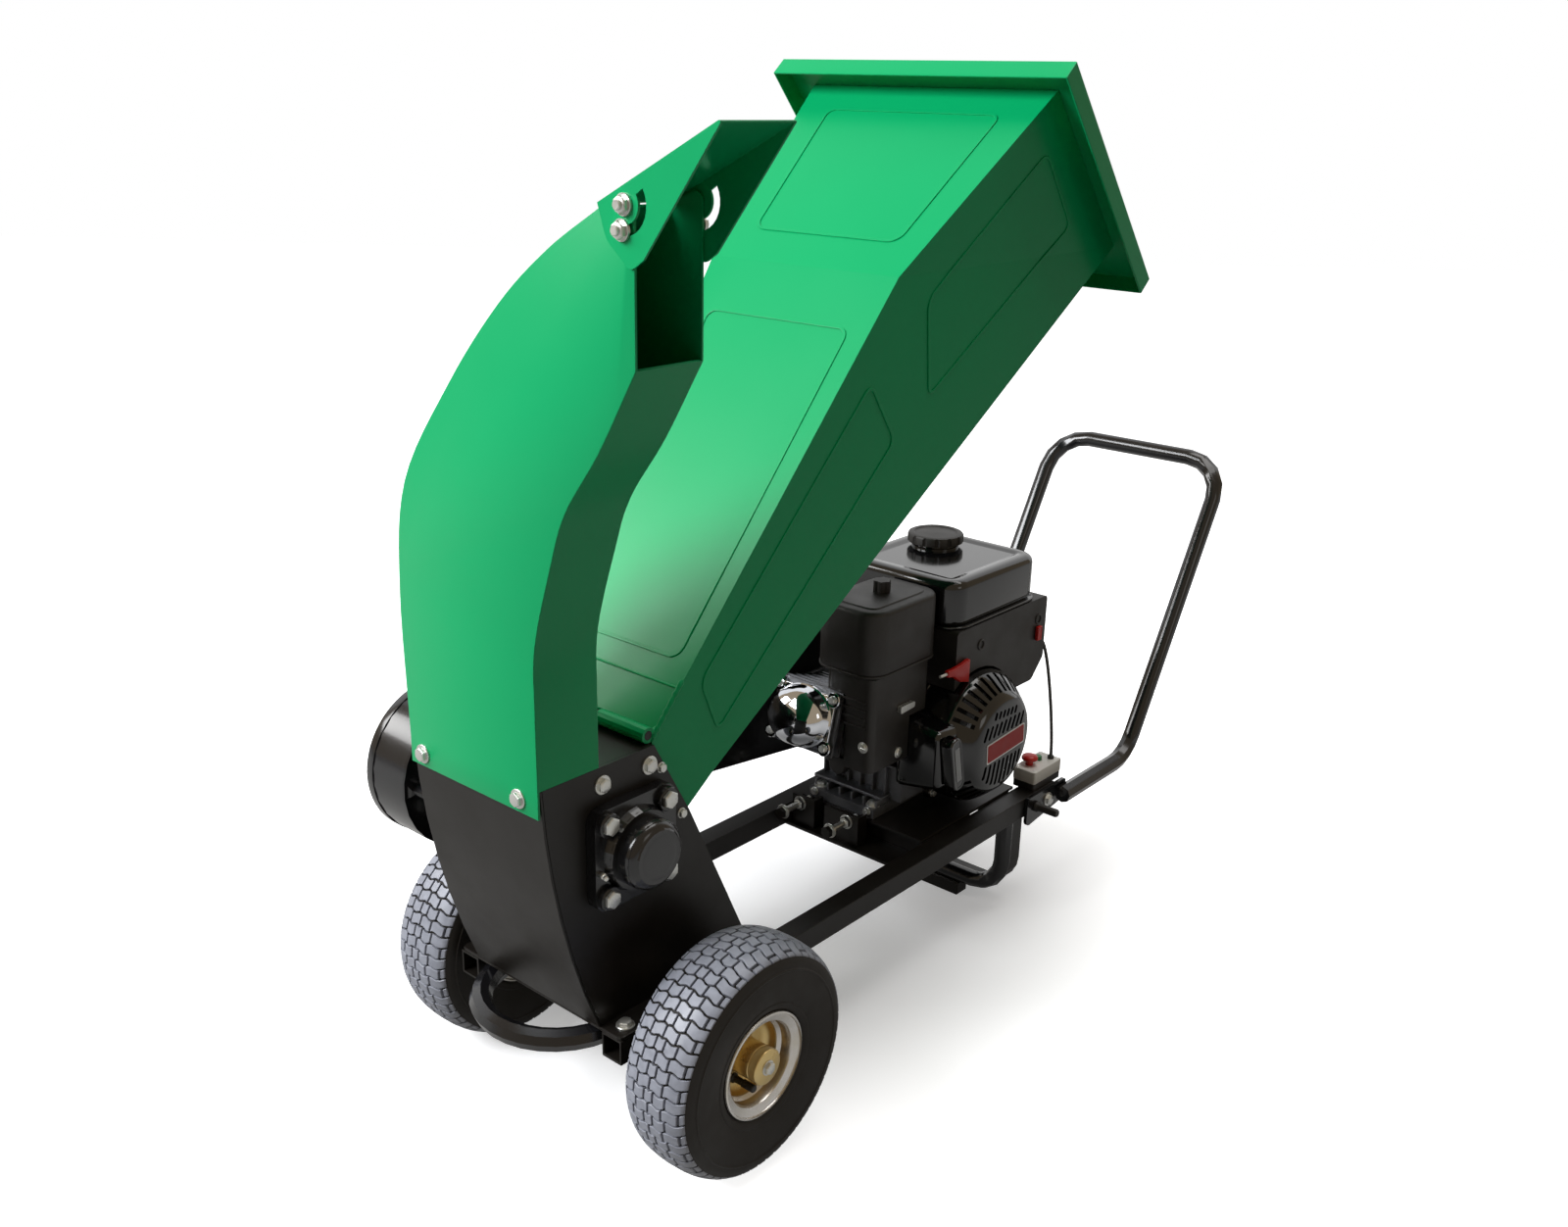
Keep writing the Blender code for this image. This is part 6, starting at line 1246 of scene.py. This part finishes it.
# %% Rocker cover
SLOPE = math.radians(15)
CYLINDER_X, HEAD_DISTANCE = -0.040, 0.2323
EARS = [(x, y) for x in (-0.046, 0.046) for y in (-0.033, 0.033)]
cylinder_way = Vector((0, -math.cos(SLOPE), math.sin(SLOPE)))
across, upward = Vector((1, 0, 0)), Vector((0, math.sin(SLOPE), math.cos(SLOPE)))
head_place = Matrix((across, upward, cylinder_way)).transposed().to_4x4()
head_place.translation = CRANK + Vector((CYLINDER_X, 0, 0)) + cylinder_way * HEAD_DISTANCE
cup = turned([(0.0, 0.0430), (0.0058, 0.0430), (0.0072, 0.0412), (0.0100, 0.0402),
              (0.0180, 0.0392), (0.0240, 0.0376), (0.0290, 0.0346), (0.0330, 0.0306),
              (0.0362, 0.0254), (0.0386, 0.0192), (0.0402, 0.0122), (0.0409, 0.0050),
              (0.0411, 0.0004)], 72)
cup.scale = (1.16, 1, 1)
settle(cup)
flange = block((-0.050, -0.038, 0.0), (0.050, 0.038, 0.0050), corner=0.014, edge=0.0012)
ears = [turned([(0, 0.0105), (0.0050, 0.0105), (0.0060, 0.0096)], 28, (*spot, 0)) for spot in EARS]
cover = put(join([cup, flange] + ears), head_place)
finished(cover, "rocker_cover_cup", "chassis", chrome, 32)
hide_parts("rocker_cover")
for spot in EARS:
    put_bolt(small_bolt, head_place @ Vector((*spot, 0.0060)), cylinder_way)

# %% [markdown]
# The throttle is a flat red tab on a bright steel rod that comes out between the filter and the
# panel. The switch is a small red key that turns on the panel. The belt is stretched by two long
# zinc bolts that push the engine's bearers back.

# %% Throttle tab and switch
PANEL_FACE = 0.0863
tab_outline = [(-0.0800, 0.4095), (-0.0800, 0.3755), (-0.1010, 0.3815), (-0.1180, 0.3935),
               (-0.1310, 0.3960), (-0.1310, 0.4050), (-0.1180, 0.4045), (-0.1010, 0.4055)]
tab = cut_plate([(PANEL_FACE, y, z) for y, z in tab_outline], (0.0074, 0, 0))
round_edges(tab, 0.0016, 3, above=25)
finished(tab, "throttle_tab", "throttle", red_plastic, 35)
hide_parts("throttle_lever")
rod = turned([(0, 0.0022), (0.018, 0.0022)], 16, (PANEL_FACE + 0.0036, -0.128, 0.4004),
             (0, -1, 0.02))
finished(rod, "throttle_rod", "throttle", zinc, 35)

switch_key = block((PANEL_FACE, 0.0975, 0.3874), (PANEL_FACE + 0.0055, 0.1085, 0.4084),
                   edge=0.0012)
edit_some(switch_key, "FACE", lambda face: face.normal.x > 0.95)
bpy.ops.mesh.inset(thickness=0.0016)
bpy.ops.transform.translate(value=(-0.0008, 0, 0))
leave_edit()
finished(switch_key, "switch_key", "on_off_switch", red_plastic, 35)
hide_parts("engine_switch")

# %% Crankcase ribs, belt adjusters and feet
case_web = [block((-0.0985, -0.1730, 0.2040), (0.0225, -0.1500, 0.2085), edge=0.0010),
            block((-0.0985, -0.1680, 0.2560), (0.0400, -0.1500, 0.2600), edge=0.0010)]
for i in range(6):
    x = -0.0920 + i * 0.0215
    case_web.append(block((x, -0.1790, 0.1925), (x + 0.0035, -0.1500, 0.2045), edge=0.0008))
    case_web.append(block((x, -0.1600, 0.2080), (x + 0.0030, -0.1500, 0.2565), edge=0.0008))
finished(join(case_web), "crankcase_ribs", "chassis", cast_aluminium, 35)
ADJUSTER_Z = 0.1776
for x in (-0.090, -0.006):
    shank = turned([(0, 0.0044), (0.0600, 0.0044)], 20, (x, -0.2520, ADJUSTER_Z), (0, 1, 0))
    bolts["chassis"].append(shank)
    for y in (-0.2492, -0.2130):
        put_bolt(middle_bolt, (x, y, ADJUSTER_Z), (0, -1, 0))
for x in (-0.084, 0.010):
    put_bolt(small_bolt, (x, -0.1880, 0.1900), (0, -1, 0))
for x in (-0.084, 0.009):
    for y in (-0.173, 0.024):
        put_bolt(middle_bolt, (x, y, 0.1940), (0, 0, 1))

# %% [markdown]
# ## Control box and lead
#
# The switch box on the right rail is a dark base with a white lid, held by a screw in each corner.
# Its stop button is a red mushroom on a short stem and its start button a small green one that
# lies flush. A grey lead runs from the panel under the tank down to the box. It is a curve with a
# round section, since a cable is one line of even thickness.

# %% Lid and base
box_low, box_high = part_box("control_box")
LID_FOOT = box_low.z + 0.0105
step = Vector((0.0008, 0.0008, 0))
base = block(box_low + step, Vector((box_high.x, box_high.y, LID_FOOT)) - step, corner=0.003)
finished(base, "control_box_base", "chassis", grained_plastic, 30)
lid = block((box_low.x, box_low.y, LID_FOOT), box_high, corner=0.0035, edge=0.0012)
stop_low, stop_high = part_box("stop_button")
start_low, start_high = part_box("start_button")
stop_place = (stop_low + stop_high) / 2
start_place = (start_low + start_high) / 2
cut_away(lid, join([turned([(-0.014, 0.0062), (0.01, 0.0062)], 32,
                           (place.x, place.y, box_high.z))
                    for place in (stop_place, start_place)]))
screws = [turned([(-0.001, 0.0022), (0.0005, 0.0022), (0.0008, 0.0016)], 16, (x, y, box_high.z))
          for x in (box_low.x + 0.0055, box_high.x - 0.0055)
          for y in (box_low.y + 0.006, box_high.y - 0.006)]
finished(lid, "control_box_lid", "chassis", white_plastic, 30)
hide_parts("control_box")
finished(join(screws), "control_box_screws", "chassis", zinc, 30)

# %% Buttons
top = stop_high.z
mushroom = turned([(box_high.z - 0.003, 0.0055), (top - 0.0078, 0.0055), (top - 0.0076, 0.0115),
                   (top - 0.0066, 0.0120), (top - 0.0042, 0.0119), (top - 0.0022, 0.0106),
                   (top - 0.0008, 0.0076), (top - 0.0001, 0.0036), (top, 0.0004)], 48,
                  (stop_place.x, stop_place.y, 0))
finished(mushroom, "stop_mushroom", "stop_key", red_plastic, 32)
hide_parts("stop_button")
top = start_high.z
pad = turned([(box_high.z - 0.003, 0.0055), (top - 0.0008, 0.0055), (top - 0.0002, 0.0051),
              (top, 0.0042), (top - 0.0003, 0.0004)], 40, (start_place.x, start_place.y, 0))
finished(pad, "start_pad", "start_key", green_plastic, 32)
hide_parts("start_button")

# %% Lead
LEAD_DIAMETER = 0.005
ROUTE_POINTS = 24
lead_start = Vector((0.076, 0.1253, 0.3759))
lead_end = Vector((0.121, 0.113, box_high.z + 0.0003))
a, d = lead_start + Vector((0, 0.006, 0)), lead_end + Vector((0, 0, 0.006))
b, c = a + Vector((0, 0.024, 0)), d + Vector((0, 0, 0.042))
route = [lead_start]
for i in range(ROUTE_POINTS):
    t = i / (ROUTE_POINTS - 1)
    route.append((1 - t) ** 3 * a + 3 * (1 - t) ** 2 * t * b + 3 * (1 - t) * t * t * c
                 + t ** 3 * d)
route.append(lead_end)
alone()
bpy.ops.curve.primitive_nurbs_path_add()
lead = bpy.context.object
lead.data.splines.clear()
spline = lead.data.splines.new("POLY")
spline.points.add(len(route) - 1)
for point, place in zip(spline.points, route):
    point.co = (*place, 1)
lead.data.bevel_depth = LEAD_DIAMETER / 2
lead.data.bevel_resolution = 4
lead.data.use_fill_caps = True
lead.name = "engine_lead_cable"
lead.data.materials.append(grey_sheath[0])
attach(lead, "chassis")
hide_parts("engine_lead")
gland = turned([(-0.0005, 0.0048), (0.0040, 0.0048), (0.0050, 0.0040), (0.0052, 0.0030)], 24,
               (lead_end.x, lead_end.y, box_high.z))
finished(gland, "lead_gland", "chassis", grained_plastic, 35)

# %% Give the bolts to their bodies
for body, copies in bolts.items():
    print(len(copies), "bolts on", body)
    finished(join(copies), "zinc_bolts_" + body, body, zinc, 30)
for template in (large_bolt, middle_bolt, middle_nut, small_bolt):
    bpy.data.objects.remove(template)
